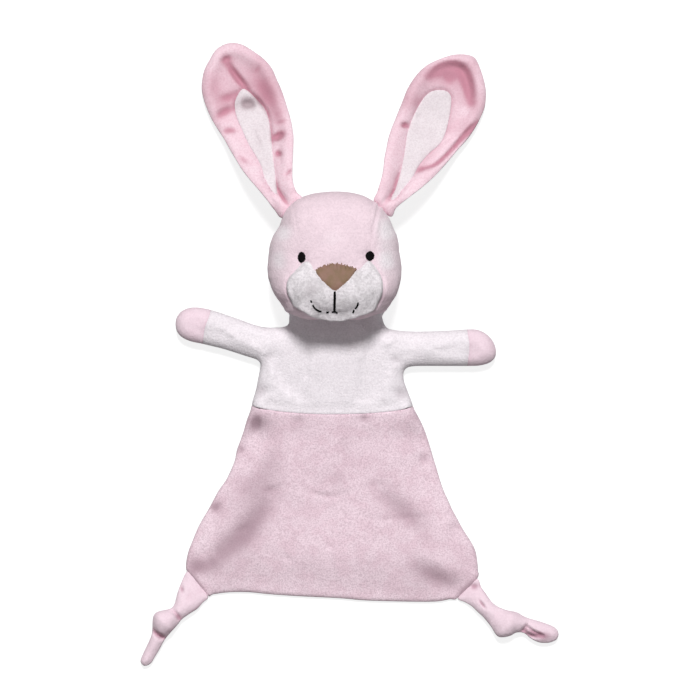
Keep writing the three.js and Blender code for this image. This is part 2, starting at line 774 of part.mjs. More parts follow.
for (const ear of ears) {
  const { at, outward } = earSeat(ear);
  const trim = beyondSeam(at, outward, earSeam, ear.outer[0] * ear.length + overrun);
  const group = new THREE.Group();
  const whole = { from: earStartShare, to: 1, narrow: 1 };
  const part = { from: innerStartShare, to: innerEndShare, narrow: innerWidthShare };
  const back = earSheet(ear, { ...whole, level: -velour - gap / 2 }).subtract(surfaceBelow);
  const front = earSheet(ear, { ...whole, level: gap / 2 });
  const inner = earSheet(ear, { ...part, level: velour + 2.5 * gap });
  piece(group, `ear_${ear.side}_back_panel`, back.intersect(trim), materials.pinkVelour);
  piece(group, `ear_${ear.side}_front_panel`, front.intersect(trim), materials.pinkVelour);
  piece(group, `ear_${ear.side}_inner_panel`, inner, materials.whiteVelour);
  toy.add(group);
}

for (const arm of arms) {
  const at = armSeat(arm);
  const outward = AXIS.x.clone().multiplyScalar(arm.sign);
  const trim = beyondSeam(at, outward, shoulderSeam, armHalfWidth + overrun);
  const group = new THREE.Group();
  const lean = flat(arm.lean);
  const cuffAt = at.clone().addScaledVector(lean, cuffShare * arm.length);
  const pastCuff = (shift) => beyondSeam(cuffAt.clone().addScaledVector(lean, shift), lean, gap / 4, gap);
  const outer = armForm(arm, 0);
  const shell = outer.subtract(armForm(arm, velour)).intersect(trim);
  piece(group, `sleeve_${arm.side}`, shell.subtract(pastCuff(-gap / 2)), materials.whiteVelour);
  piece(group, `mitt_${arm.side}`, shell.intersect(pastCuff(gap / 2)), materials.pinkVelour);
  piece(group, `arm_${arm.side}_stuffing`, armForm(arm, velour + gap).intersect(trim), materials.filling);
  toy.add(group);
}

const blanket = new THREE.Group();
const waistTrim = beyondSeam(
  new THREE.Vector3(0, waistY, waistSeam),
  AXIS.y.clone().negate(),
  waistSeam,
  bodyHalfWidth + overrun,
);
const layer = waistSeam - gap / 2;
const grid = [blanketAcrossShares, blanketAlongShares];
const topLayer = sheet(...grid, (u, v) => blanketPoint(u, v).setZ(layer + gap + blanketLift(u, v)), layer);
const lowLayer = sheet(...grid, (u, v) => blanketPoint(u, v).setZ(-restDip), layer + restDip);
piece(blanket, "blanket_front", topLayer.intersect(waistTrim), materials.pinkVelour);
piece(blanket, "blanket_back", lowLayer.subtract(surfaceBelow).intersect(waistTrim), materials.pinkVelour);
toy.add(blanket);

for (const tail of tails) {
  const group = new THREE.Group();
  piece(group, `tail_${tail.side}`, tailForm(tail), materials.pinkVelour);
  toy.add(group);
}

export default toy;
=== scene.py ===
# Comfort blanket: a velour rabbit's head, ears and arms sewn to a blanket with knotted corner tails.
# Everything is cut, sewn and filled in millimetres and becomes metres when its mesh is made.
import math

import bmesh
import bpy
import numpy as np
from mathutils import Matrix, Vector, geometry, kdtree, noise


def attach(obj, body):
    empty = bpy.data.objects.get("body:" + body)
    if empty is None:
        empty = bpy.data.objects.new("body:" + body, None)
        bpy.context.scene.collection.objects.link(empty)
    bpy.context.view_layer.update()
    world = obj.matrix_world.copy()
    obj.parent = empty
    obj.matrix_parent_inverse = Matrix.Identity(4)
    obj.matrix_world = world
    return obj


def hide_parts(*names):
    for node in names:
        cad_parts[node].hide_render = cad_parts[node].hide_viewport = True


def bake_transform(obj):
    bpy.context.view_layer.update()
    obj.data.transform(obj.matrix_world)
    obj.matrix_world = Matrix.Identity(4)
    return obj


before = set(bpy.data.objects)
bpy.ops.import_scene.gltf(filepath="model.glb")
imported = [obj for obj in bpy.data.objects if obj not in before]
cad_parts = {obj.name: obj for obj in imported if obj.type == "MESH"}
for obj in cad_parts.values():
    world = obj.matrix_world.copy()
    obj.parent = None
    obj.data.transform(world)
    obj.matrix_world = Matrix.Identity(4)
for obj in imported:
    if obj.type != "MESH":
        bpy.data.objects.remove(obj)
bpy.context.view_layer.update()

MM = 0.001
velour = 1.5
seed = 11
tiny = 1e-12
floor_gap = 0.05
on_seam = 0.05

# Body, arms and mitts, cut in one piece: round from the left end of the waist to its right end
garment_outline = [
    [-45.2, -18.9], [-44.6, -16.0], [-42.9, -10.5], [-41.8, -5.0], [-40.7, 0.6], [-40.4, 4.0],
    [-42.5, 6.3], [-49.5, 8.6], [-60.5, 12.1], [-72.1, 14.9], [-79.2, 16.5], [-84.2, 19.2],
    [-86.6, 23.1], [-86.6, 28.6], [-83.3, 33.0], [-77.0, 34.9], [-67.7, 33.6], [-53.4, 28.9],
    [-41.2, 24.7], [-31.4, 23.9], [-25.3, 25.3], [-24.4, 30.3], [-22.4, 35.8], [23.8, 35.8],
    [26.4, 29.4], [28.0, 25.0], [31.6, 22.8], [44.6, 21.7], [63.3, 22.2], [72.1, 22.8],
    [79.2, 22.5], [84.9, 19.2], [88.2, 14.3], [88.8, 8.8], [86.0, 5.0], [80.3, 3.1],
    [73.2, 2.8], [57.2, 2.8], [44.6, 2.7], [39.8, 1.6], [38.1, -1.4], [38.5, -5.5],
    [40.2, -10.5], [42.4, -16.0], [43.4, -19.2],
]
cuff_left = [[-67.0, 37.0], [-68.2, 30.5], [-71.0, 22.5], [-72.2, 10.0]]
cuff_right = [[72.3, 27.0], [73.6, 19.0], [74.2, 12.0], [72.4, -2.0]]
shoulder_left = [[-37.5, 40.0], [-37.5, 3.4], [-60.0, 3.4]]
shoulder_right = [[36.0, 40.0], [36.0, 1.2], [60.0, 1.2]]
body_middle = 7.0
body_above_middle = 0.6
arm_half_thickness = 7.2
arm_start = 34
arm_fade = 10
filling_roundness = 9.6
waist_line = [
    [-45.2, -18.9], [-39.5, -20.5], [-29.7, -22.2], [-13.2, -23.5], [3.3, -23.7], [19.8, -23.2],
    [33.6, -21.8], [39.0, -20.6], [43.4, -19.2],
]
waist_y = -22.5
waist_rise = 42.0
waist_reach = 17.0
waist_half_thickness = 5.4
waist_roundness = 7.0
waist_dip = 0.7
waist_back_dip = 0.8
waist_dip_width = 1.3
waist_fade = 5

# Blanket, two layers cut alike: round from the left end of the waist to its right end
blanket_outline = [
    [-45.2, -18.9], [-46.0, -22.0],
    [-47.9, -27.0], [-49.5, -32.5], [-51.4, -38.0], [-53.4, -43.5], [-54.5, -49.0],
    [-56.7, -54.5], [-59.4, -60.0], [-63.3, -65.5], [-66.3, -71.0], [-69.3, -76.5], [-72.6, -82.0],
    [-75.4, -87.5], [-77.6, -93.0], [-79.8, -98.5], [-81.1, -104.0], [-81.3, -108.0],
    [-80.6, -110.0], [-69.5, -123.2], [-66.5, -122.7], [-57.2, -121.6], [-46.2, -121.6],
    [-35.2, -122.7], [-18.7, -123.8], [3.3, -124.9], [19.8, -126.2], [52.8, -126.8],
    [63.8, -125.4], [67.7, -124.9], [78.7, -113.9], [79.1, -109.5], [78.7, -104.0], [77.6, -98.5],
    [74.8, -93.0], [71.2, -87.5], [68.2, -82.0], [65.2, -76.5], [62.7, -71.0], [60.2, -65.5],
    [58.3, -60.0], [56.7, -54.5], [55.0, -49.0], [53.4, -43.5], [51.7, -38.0], [49.8, -32.5],
    [47.3, -27.0], [44.6, -22.0], [43.4, -19.2],
]
hem_half_thickness = 2.0
hem_roundness = 2.6
blanket_puff = 5.0
puff_reach = 15.0
blanket_gap = 0.1

# Head: the same rounded form and cheeks as its solids
head_half_width = 36.5
crown_rise = 41.4
chin_drop = 27.9
head_y = 56.6
head_middle = 25.0
face_depth = 26.0
nape_depth = 25.5
head_roundness = 2.4
jaw_roundness = 3.1
jaw_reach = 20.0
cheek_spread = 10.4
cheek_at = [43.6, 35.0]
cheek_half_width = 15.8
cheek_half_height = 16.6
cheek_puff = 21.0
chin_at = [41.6, 33.5]
chin_half_width = 14.0
chin_half_height = 14.3
chin_puff = 19.5
cheek_merge = 4.0
low_cheeks = [[-26.0, 46.0], [26.0, 46.0]]
low_cheek_push = 1.4
low_cheek_width = 9.5
floor_merge = 5.0
heart = [0.0, 50.0, 27.0]
side_draw = [
    [29.0, -1.5, -3.0], [31.4, -0.5, -2.2], [34.3, 2.7, 0.7], [37.7, 3.8, 1.7], [41.9, 2.8, 0.9],
    [46.1, 1.8, 0.5], [51.0, 0.7, -0.1], [56.6, 0.3, -0.3], [61.1, 0.6, 0.2], [65.5, 0.8, 0.6],
    [70.0, 0.8, 0.2], [74.2, 1.5, 0.2], [76.5, 2.3, 0.7], [79.5, 3.0, 0.7], [83.1, 2.3, 0.3],
    [87.5, 1.2, 0.5], [93.0, 0.4, 0.0],
]
side_start = 18.0
side_width = 13.0
gusset_left = [[-22.6, 89.0], [-21.5, 85.2], [-20.4, 78.7], [-19.0, 72.1], [-16.8, 65.5], [-14.3, 59.6]]
gusset_right = [[24.4, 88.2], [22.3, 80.9], [20.9, 73.7], [19.7, 66.6], [18.9, 59.6]]
muzzle_outline = [
    [-12.1, 57.8], [-14.3, 59.5], [-17.1, 58.6], [-21.4, 54.2], [-24.9, 50.4], [-27.0, 46.0],
    [-27.3, 42.7], [-26.1, 38.8], [-22.8, 35.4], [-17.1, 33.0], [-11.0, 29.5], [-6.6, 28.6],
    [-1.7, 28.2], [3.3, 28.2], [9.9, 28.9], [17.1, 31.2], [22.4, 34.5], [26.0, 38.8], [27.0, 43.8],
    [26.2, 49.8], [23.4, 55.6], [20.6, 59.2], [19.0, 59.7], [17.1, 58.3], [11.9, 54.2], [1.1, 52.6],
    [-9.6, 54.2],
]
nose_outline = [
    [-9.5, 53.9], [-7.7, 55.9], [-4.4, 57.9], [-1.1, 58.8], [2.2, 58.8], [6.1, 57.9], [9.3, 56.4],
    [11.8, 54.9], [10.0, 51.6], [7.1, 47.8], [3.9, 44.9], [0.8, 42.7], [-2.2, 44.7], [-5.5, 47.9],
    [-8.0, 51.1],
]
eyes = [[-17.7, 61.7, 4.5, 5.3], [19.9, 62.4, 5.1, 4.7]]
mouth_line = [[0.6, 44.2], [0.5, 38.4], [0.3, 31.0]]
smile_stitches = [
    [[-12.6, 38.7], [-11.7, 36.6]],
    [[-11.7, 36.2], [-9.6, 33.6], [-6.2, 31.9]],
    [[-4.4, 31.7], [-2.3, 31.6]],
    [[-1.5, 31.5], [0.9, 31.7], [2.3, 30.7]],
    [[13.3, 37.2], [12.6, 35.0], [11.3, 33.4]],
    [[11.2, 33.2], [10.1, 31.5]],
]

# Ears: outline, white panel, root, the way across the root seam, lean and length
ears = {
    "left": {
        "outline": [
            [-27.5, 83.6], [-32.5, 88.0], [-36.3, 93.0], [-41.2, 99.0], [-46.2, 104.8], [-50.6, 110.6],
            [-53.9, 116.1], [-57.2, 121.6], [-60.2, 127.1], [-63.8, 132.6], [-67.1, 138.1],
            [-69.6, 143.6], [-71.5, 149.1], [-72.6, 154.6], [-72.3, 160.1], [-71.0, 165.6],
            [-68.2, 171.1], [-64.9, 176.3], [-60.5, 179.3], [-55.6, 180.3], [-50.6, 179.3],
            [-45.7, 176.6], [-38.5, 171.3], [-34.1, 166.1], [-31.4, 160.1], [-28.9, 154.6],
            [-27.0, 149.1], [-25.3, 143.6], [-23.7, 138.1], [-22.6, 132.6], [-22.0, 127.1],
            [-22.3, 118.8], [-22.6, 109.5], [-22.3, 103.4], [-20.4, 97.9], [-17.1, 93.0],
        ],
        "white": [
            [-50.4, 154.9], [-46.8, 153.5], [-41.8, 148.5], [-37.4, 143.0], [-35.2, 135.3],
            [-34.1, 126.5], [-33.6, 120.2], [-32.5, 111.7], [-31.6, 104.0], [-31.0, 98.8],
            [-30.8, 96.2], [-32.4, 96.4], [-35.2, 100.4], [-38.0, 105.4],
            [-39.6, 111.7], [-42.9, 118.0], [-46.8, 124.5], [-50.7, 133.1], [-53.1, 138.6],
            [-54.5, 144.7], [-53.9, 149.6],
        ],
        "root": [-26.3, 92.5],
        "seamway": [-0.52, 0.854],
        "lean": [-0.299, 0.954],
        "length": 95.0,
    },
    "right": {
        "outline": [
            [22.0, 91.9], [23.7, 97.9], [25.9, 105.1], [27.0, 111.1], [27.5, 116.1], [28.6, 121.6],
            [29.7, 127.1], [31.4, 132.6], [33.6, 138.1], [35.8, 143.6], [38.0, 149.1], [40.2, 154.6],
            [43.5, 160.1], [47.9, 165.3], [52.8, 168.9], [58.9, 171.6], [64.9, 173.5], [70.4, 174.0],
            [75.4, 173.2], [78.1, 171.1], [80.3, 166.1], [82.2, 160.1], [83.3, 154.6], [83.3, 149.1],
            [82.5, 144.1], [80.0, 138.1], [77.0, 132.6], [73.2, 127.1], [68.2, 121.6], [63.8, 116.3],
            [58.9, 110.6], [53.6, 105.1], [47.3, 99.6], [40.2, 94.1], [34.1, 89.1], [30.8, 84.2],
        ],
        "white": [
            [58.3, 154.4], [62.2, 153.5], [64.4, 150.2], [63.8, 141.9], [61.6, 132.0], [58.3, 124.9],
            [52.3, 119.4], [46.8, 112.8], [43.5, 106.7], [39.1, 100.7], [33.8, 94.1], [31.4, 92.4],
            [31.4, 95.2], [33.6, 99.6], [36.6, 109.5], [38.7, 120.2], [40.4, 130.9], [44.0, 140.8],
            [49.0, 149.6], [53.4, 153.5],
        ],
        "root": [29.9, 89.6],
        "seamway": [0.6, 0.8],
        "lean": [0.433, 0.901],
        "length": 93.0,
    },
}
ear_root_z = 25.0
ear_rest_z = 3.2
ear_droop_share = 0.62
ear_half_thickness = 2.2
ear_roundness = 3.2
ear_cup = 6.0


# Plan work: outlines, distances and cut pieces

# Lumps are given as height, size and salt, and grooves as depth, width and place beside their line
curve_points = 16
batch = 2000
lump_shift = [7.3, 3.1, 5.7]
stroke_step = 2
stroke_end_share = 0.04
ring_room_share = 0.55
seam_room_share = 0.5
ring_kept_share = 0.93
ring_seam_share = 0.4
inward_probe = 0.05
merge_distance = 1e-5
least_turn = 1e-9


def smooth_line(points, step, closed=False):
    """A smooth curve through a few points, in equal steps."""
    p = np.array(points, float)
    n = len(p)
    spans = n if closed else n - 1
    fine = []
    for k in range(spans):
        around = range(k - 1, k + 3)
        a, b, c, d = (p[i % n] if closed else p[min(max(i, 0), n - 1)] for i in around)
        t = np.linspace(0, 1, curve_points, endpoint=False)[:, None]
        bend, twist = 2 * a - 5 * b + 4 * c - d, 3 * b - 3 * c + d - a
        fine.append(0.5 * (2 * b + (c - a) * t + bend * t**2 + twist * t**3))
    fine = np.vstack([*fine, p[:1] if closed else p[-1:]])
    run = np.r_[0, np.cumsum(np.linalg.norm(np.diff(fine, axis=0), axis=1))]
    count = max(2, int(round(run[-1] / step)))
    at = np.linspace(0, run[-1], count + 1)
    line = np.stack([np.interp(at, run, fine[:, i]) for i in range(p.shape[1])], 1)
    return line[:-1] if closed else line


def straight_runs(corners, count=30):
    """Straight lines from corner to corner, each in that many equal steps."""
    corners = np.array(corners)
    runs = [np.linspace(a, b, count, endpoint=False) for a, b in zip(corners[:-1], corners[1:])]
    return np.vstack([*runs, corners[-1:]])


def closed(line):
    """A line with its first point again at its end."""
    return np.vstack([line, line[:1]])


def nearest(points, line):
    """For each point its distance to a line, and how far along the line that is, as a share."""
    points, line = np.asarray(points, float), np.asarray(line, float)
    a, way = line[:-1], np.diff(line, axis=0)
    size = np.maximum((way**2).sum(1), tiny)
    far, place = np.empty(len(points)), np.empty(len(points))
    for k in range(0, len(points), batch):
        q = points[k:k + batch, None] - a
        t = np.clip((q * way).sum(2) / size, 0, 1)
        off = np.linalg.norm(q - t[..., None] * way, axis=2)
        best = off.argmin(1)
        rows = np.arange(len(best))
        far[k:k + batch] = off[rows, best]
        place[k:k + batch] = (best + t[rows, best]) / len(way)
    return far, place


def inside(points, outline):
    """Which points lie inside a closed outline."""
    points, outline = np.asarray(points, float), np.asarray(outline, float)
    found = np.zeros(len(points), bool)
    x, y = points[:, 0], points[:, 1]
    for (ax, ay), (bx, by) in zip(outline, np.roll(outline, -1, axis=0)):
        if ay == by:
            continue
        crosses = (ay > y) != (by > y)
        found ^= crosses & (x < (bx - ax) * (y - ay) / (by - ay) + ax)
    return found


def step_up(t):
    """A smooth step from 0 to 1."""
    t = np.clip(t, 0, 1)
    return t * t * (3 - 2 * t)


def round_edge(far, roundness):
    """0 at a sewn edge, rising like a quarter circle to 1."""
    return np.sqrt(1 - (1 - np.clip(far / roundness, 0, 1)) ** 2)


def groove(far, depth, width, at=0):
    """A rounded groove along a line: its depth, its width and how far beside the line it lies."""
    return depth * np.exp(-(((far - at) / width) ** 2))


def lumps(points, size, salt):
    """Smooth noise from about -1 to 1 with lumps of that size; the salt picks another pattern."""
    shift = Vector((seed + lump_shift[0] * salt, lump_shift[1] * salt, lump_shift[2] * salt))
    p = np.c_[points, np.zeros(len(points))] if points.shape[1] == 2 else points
    return np.array([noise.noise(Vector(q / size) + shift) for q in p])


def uneven(points, layers):
    """Lumps over lumps: each layer with its height, its size and its salt."""
    return sum(height * lumps(points, size, salt) for height, size, salt in layers)


def strokes(points, marks):
    """Depth of folds and dents: each mark is a line or one point, with its depth and its width."""
    depth = np.zeros(len(points))
    for line, deep, wide in marks:
        line = np.array(line, float)
        if len(line) == 1:
            far, place = np.linalg.norm(points - line[0], axis=1), 0.5
        else:
            far, place = nearest(points, smooth_line(line, stroke_step))
        place = np.clip(place, stroke_end_share, 1 - stroke_end_share)
        taper = np.sqrt(np.clip(np.sin(np.pi * place), 0, 1))
        depth += groove(far, deep * taper, wide)
    return depth


def cut(outline, step, rings, seams=()):
    """Triangles over a closed outline, finer towards its edge, with edges along the seams."""
    lines = [closed(outline), *seams]
    low, high = outline.min(0), outline.max(0)
    columns = np.arange(low[0], high[0], step)
    rows = np.arange(low[1], high[1], step * math.sqrt(0.75))
    grid = np.array([[x + (k % 2) * step / 2, y] for k, y in enumerate(rows) for x in columns])
    grid = grid[inside(grid, outline)]
    far_out = nearest(grid, lines[0])[0]
    keep = far_out > rings[-1] + step * ring_room_share
    for seam in seams:
        keep &= nearest(grid, seam)[0] > step * seam_room_share
    points = [grid[keep]]
    way = np.roll(outline, -1, axis=0) - np.roll(outline, 1, axis=0)
    inward = np.stack([-way[:, 1], way[:, 0]], 1) / np.linalg.norm(way, axis=1)[:, None]
    if not inside(outline[:1] + inward[:1] * inward_probe, outline)[0]:
        inward = -inward
    for ring in rings:
        row = outline + inward * ring
        far = nearest(row, lines[0])[0]
        ok = inside(row, outline) & (far > ring * ring_kept_share)
        for seam in seams:
            ok &= nearest(row, seam)[0] > step * ring_seam_share
        points.append(row[ok])
    edges, count = [], 0
    vertices = []
    for line in lines:
        n = len(line) - (line is lines[0])
        vertices.append(line[:n])
        edges += [(count + k, count + (k + 1) % n) for k in range(n if line is lines[0] else n - 1)]
        count += n
    vertices = np.vstack([*vertices, *points])
    found = geometry.delaunay_2d_cdt([Vector(v) for v in vertices], edges, [], 0, merge_distance)
    xy = np.array([list(v) for v in found[0]])
    triangles = np.array([f for f in found[2] if len(f) == 3])
    middle = xy[triangles].mean(1)
    triangles = triangles[inside(middle, outline)]
    a, b, c = (xy[triangles[:, k]] for k in range(3))
    turn = (b[:, 0] - a[:, 0]) * (c[:, 1] - a[:, 1]) - (b[:, 1] - a[:, 1]) * (c[:, 0] - a[:, 0])
    triangles[turn < 0] = triangles[turn < 0][:, ::-1]
    return xy, triangles[np.abs(turn) > least_turn]


def plan_size(outline):
    """Width and height of a flat piece, and its area."""
    size = outline.max(0) - outline.min(0)
    return size, abs(np.cross(outline, np.roll(outline, -1, axis=0)).sum()) / 2


# Cloth work: skins, panels and pieces

def sides_of(triangles):
    """The sides of all triangles, as pairs of point numbers."""
    return np.vstack([triangles[:, [0, 1]], triangles[:, [1, 2]], triangles[:, [2, 0]]])


def normals_of(points, triangles):
    """The normal at each point, from the triangles that meet there."""
    a, b, c = (points[triangles[:, k]] for k in range(3))
    face = np.cross(b - a, c - a)
    out = np.zeros_like(points)
    for k in range(3):
        np.add.at(out, triangles[:, k], face)
    return out / np.maximum(np.linalg.norm(out, axis=1), tiny)[:, None]


def shell(points, normals, triangles, thickness):
    """One layer of cloth as a closed mesh: the outer face, an inner face and walls along its edges."""
    used, fresh = np.unique(triangles, return_inverse=True)
    t = fresh.reshape(-1, 3)
    n = len(used)
    outer = points[used]
    inner = outer - normals[used] * thickness
    pairs = sides_of(t)
    _, first, times = np.unique(np.sort(pairs, axis=1), axis=0, return_index=True, return_counts=True)
    a, b = pairs[first[times == 1]].T
    walls = np.vstack([np.c_[b, a, a + n], np.c_[b, a + n, b + n]])
    faces = np.vstack([t, t[:, ::-1] + n, walls])
    points = np.vstack([outer, inner])
    corners = np.vstack([normals[used][t.ravel()], -normals[used][t[:, ::-1].ravel()]])
    p, q, r = (points[walls[:, k]] for k in range(3))
    flat = np.cross(q - p, r - p)
    flat /= np.maximum(np.linalg.norm(flat, axis=1), tiny)[:, None]
    return points, faces, used, np.vstack([corners, np.repeat(flat, 3, axis=0)])


def placed(name, data):
    """A new object in the scene."""
    item = bpy.data.objects.new(name, data)
    bpy.context.scene.collection.objects.link(item)
    return item


def stand_in(piece, node, body):
    """A piece shown in place of its plain solid, riding with a body when one is given."""
    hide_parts(node)
    if body:
        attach(piece, body)
    return piece


def make(name, points, faces, material, node, body=None, painted_light=None, corners=None):
    """A piece from points in millimetres, in place of its plain solid.

    Its painted light values run from 1, full painted shade in folds, dents and seams, through 0 on open
    cloth, to -1, full painted highlight.
    """
    mesh = bpy.data.meshes.new(name)
    mesh.from_pydata((np.asarray(points) * MM).tolist(), [], [list(map(int, face)) for face in faces])
    mesh.shade_smooth()
    if corners is not None:
        mesh.normals_split_custom_set(corners.tolist())
    # painted shade and painted highlights, kept on the points for the velour's colour
    if painted_light is not None:
        mesh.attributes.new("painted_light", "FLOAT", "POINT").data.foreach_set(
            "value", np.clip(painted_light, -1, 1).astype(np.float32)
        )
    mesh.materials.append(material)
    return stand_in(placed(name, mesh), node, body)


def panel(node, skin, triangles, material, body=None, thickness=velour):
    """A cloth panel from its triangles on a skin of points, normals and painted light values, named after
    its node.
    """
    points, normals, painted_light = skin
    vertices, faces, used, corners = shell(points, normals, triangles, thickness)
    folds = np.r_[painted_light[used], painted_light[used]]
    return make(f"{node}_cloth", vertices, faces, material, node, body, folds, corners)


def sewn(xy, triangles, top, bottom, parted=None):
    """Two layers sewn round their outline, but where parted: all points, front and back triangles."""
    n = len(xy)
    points = np.vstack([np.c_[xy, top], np.c_[xy, bottom]])
    unique, times = np.unique(np.sort(sides_of(triangles), axis=1), axis=0, return_counts=True)
    rim = np.zeros(n, bool)
    rim[unique[times == 1].ravel()] = True
    if parted is not None:
        rim &= ~parted
    index = np.arange(n) + np.where(rim, 0, n)
    return points, triangles, index[triangles][:, ::-1]


def skin_of(points, layers, painted_light):
    """Points with their normals over all layers, and their painted light values: painted shade above 0,
    painted highlights below 0.
    """
    return points, normals_of(points, np.vstack(layers)), painted_light


# Pressure of the filling, from a short cloth simulation on a coarse copy

puff_grid = 4.5
puff_frames = 20
puff_pressure = 4.0
puff_looseness = 0.05
puff_most = 0.9
puff_held = 2.6
puff_fade = 5
puff_quality = 6
puff_facing = -0.3
puff_neighbours = 5
puff_near = 0.5


def puffed(xy, triangles, top, bottom, far):
    """How far the filling lifts the front of a sewn piece and sinks its back, nothing at its rim."""
    points, front, back = sewn(xy, triangles, top, bottom)
    mesh = bpy.data.meshes.new("puff")
    mesh.from_pydata((points * MM).tolist(), [], np.vstack([front, back]).tolist())
    coarse = placed("puff", mesh)
    remesh = coarse.modifiers.new("even", "REMESH")
    remesh.mode = "VOXEL"
    remesh.voxel_size = puff_grid * MM
    graph = bpy.context.evaluated_depsgraph_get()
    even = bpy.data.meshes.new_from_object(coarse.evaluated_get(graph))
    coarse.modifiers.clear()
    coarse.data = even
    start = read_points(even)
    facing = np.empty(len(start) * 3)
    even.vertex_normals.foreach_get("vector", facing)
    facing = facing.reshape(-1, 3)[:, 2]
    held = coarse.vertex_groups.new(name="held")
    plan_tree = tree_of(xy)
    for index, place in enumerate(start):
        if far[plan_tree.find((place[0], place[1], 0))[1]] < puff_held:
            held.add([index], 1.0, "REPLACE")
    cloth = coarse.modifiers.new("cloth", "CLOTH").settings
    cloth.quality = puff_quality
    cloth.vertex_group_mass = "held"
    cloth.use_pressure = True
    cloth.uniform_pressure_force = puff_pressure
    cloth.shrink_min = -puff_looseness
    cloth.effector_weights.gravity = 0
    for number in range(1, puff_frames + 1):
        bpy.context.scene.frame_set(number)
    graph = bpy.context.evaluated_depsgraph_get()
    moved = read_points(coarse.evaluated_get(graph).data) - start
    bpy.data.objects.remove(coarse)
    bpy.context.scene.frame_set(1)
    shifts = []
    for side, height in ((1, top), (-1, bottom)):
        chosen = np.flatnonzero(side * facing > puff_facing)
        tree = tree_of(start[chosen])
        shift = np.zeros(len(xy))
        for k, (x, y) in enumerate(xy):
            found = tree.find_n((x, y, height[k]), puff_neighbours)
            weight = np.array([1 / (distance + puff_near) ** 2 for _, _, distance in found])
            rise = np.array([moved[chosen[index], 2] for _, index, _ in found])
            shift[k] = weight @ rise / weight.sum()
        inner = step_up((far - puff_held) / puff_fade)
        shifts.append(puff_most * np.tanh(shift / puff_most) * inner)
    return shifts


def read_points(mesh):
    """A mesh's points in millimetres."""
    found = np.empty(len(mesh.vertices) * 3)
    mesh.vertices.foreach_get("co", found)
    return found.reshape(-1, 3) / MM


def tree_of(points):
    """A search tree over points in plan or in space."""
    points = np.c_[points, np.zeros(len(points))] if points.shape[1] == 2 else points
    tree = kdtree.KDTree(len(points))
    for index, place in enumerate(points):
        tree.insert(place, index)
    tree.balance()
    return tree


# Materials

sheen_roughness = 0.45
gamma, gamma_knee, gamma_shift, gamma_slope = 2.4, 10, 0.055, 12.92


def linear(r, g, b):
    """A picture's colour values as the linear light that a material takes."""
    values = [c / 255 for c in (r, g, b)]
    knee = gamma_knee / 255
    return [
        ((c + gamma_shift) / (1 + gamma_shift)) ** gamma if c > knee else c / gamma_slope for c in values
    ] + [1]


class Finish:
    """A material's nodes, wired by name."""

    def __init__(self, name, roughness, sheen=0.0, sheen_tint=(1, 1, 1, 1), specular=0.2):
        self.material = bpy.data.materials.new(name)
        self.material.use_nodes = True
        self.nodes = self.material.node_tree.nodes
        self.links = self.material.node_tree.links
        self.shader = self.nodes["Principled BSDF"]
        self.shader.inputs["Roughness"].default_value = roughness
        self.shader.inputs["Specular IOR Level"].default_value = specular
        self.shader.inputs["Sheen Weight"].default_value = sheen
        self.shader.inputs["Sheen Roughness"].default_value = sheen_roughness
        self.shader.inputs["Sheen Tint"].default_value = sheen_tint
        self.place = self.nodes.new("ShaderNodeTexCoord").outputs["Object"]

    def grain(self, size, detail, rough):
        """Noise with grains of that size."""
        texture = self.nodes.new("ShaderNodeTexNoise")
        texture.inputs["Scale"].default_value = 1 / (size * MM)
        texture.inputs["Detail"].default_value = detail
        texture.inputs["Roughness"].default_value = rough
        self.links.new(self.place, texture.inputs["Vector"])
        return texture.outputs["Fac"]

    def spread(self, value, low, high, to_low=0.0, to_high=1.0):
        """A value between two bounds spread over others."""
        node = self.nodes.new("ShaderNodeMapRange")
        node.interpolation_type = "SMOOTHSTEP"
        bounds = {"From Min": low, "From Max": high, "To Min": to_low, "To Max": to_high}
        for socket, number in bounds.items():
            node.inputs[socket].default_value = number
        self.links.new(value, node.inputs["Value"])
        return node.outputs["Result"]

    def mix(self, share, first, second):
        """One colour, the other, or a share of both."""
        node = self.nodes.new("ShaderNodeMix")
        node.data_type = "RGBA"
        self.put(share, node.inputs[0])
        self.put(first, node.inputs[6])
        self.put(second, node.inputs[7])
        return node.outputs[2]

    def sum(self, first, second, share):
        """One value and a share of another."""
        node = self.nodes.new("ShaderNodeMath")
        node.operation = "MULTIPLY_ADD"
        self.put(second, node.inputs[0])
        node.inputs[1].default_value = share
        self.put(first, node.inputs[2])
        return node.outputs[0]

    def attribute(self, name):
        node = self.nodes.new("ShaderNodeAttribute")
        node.attribute_name = name
        return node.outputs["Fac"]

    def put(self, value, socket):
        """A plain value or another node's output, put on a socket."""
        if isinstance(value, (int, float, list, tuple)):
            socket.default_value = value
        else:
            self.links.new(value, socket)

    def bump(self, height, distance, strength):
        node = self.nodes.new("ShaderNodeBump")
        node.inputs["Strength"].default_value = strength
        node.inputs["Distance"].default_value = distance * MM
        self.links.new(height, node.inputs["Height"])
        self.links.new(node.outputs["Normal"], self.shader.inputs["Normal"])


class Cloth:
    """What every short pile cloth shares."""
    roughness, sheen, sheen_tint, specular = 0.92, 0.25, (1, 0.97, 0.98, 1), 0.12
    nap_detail, nap_rough, nap_low, nap_high = 4, 0.6, 0.38, 0.66
    tip_detail, tip_rough, tip_low, tip_high = 2, 0.6, 0.35, 0.7
    pile_detail, pile_rough = 3, 0.65
    fibre_size, fibre_detail, fibre_rough, fibre_share = 0.45, 1, 0.5, 0.5
    # the most of the pale colour painted as highlight and of the deep colour painted as shade, and the
    # bump
    pale_share, deep_share, bump = 0.9, 0.85, 0.6
    pale = linear(248, 242, 246)


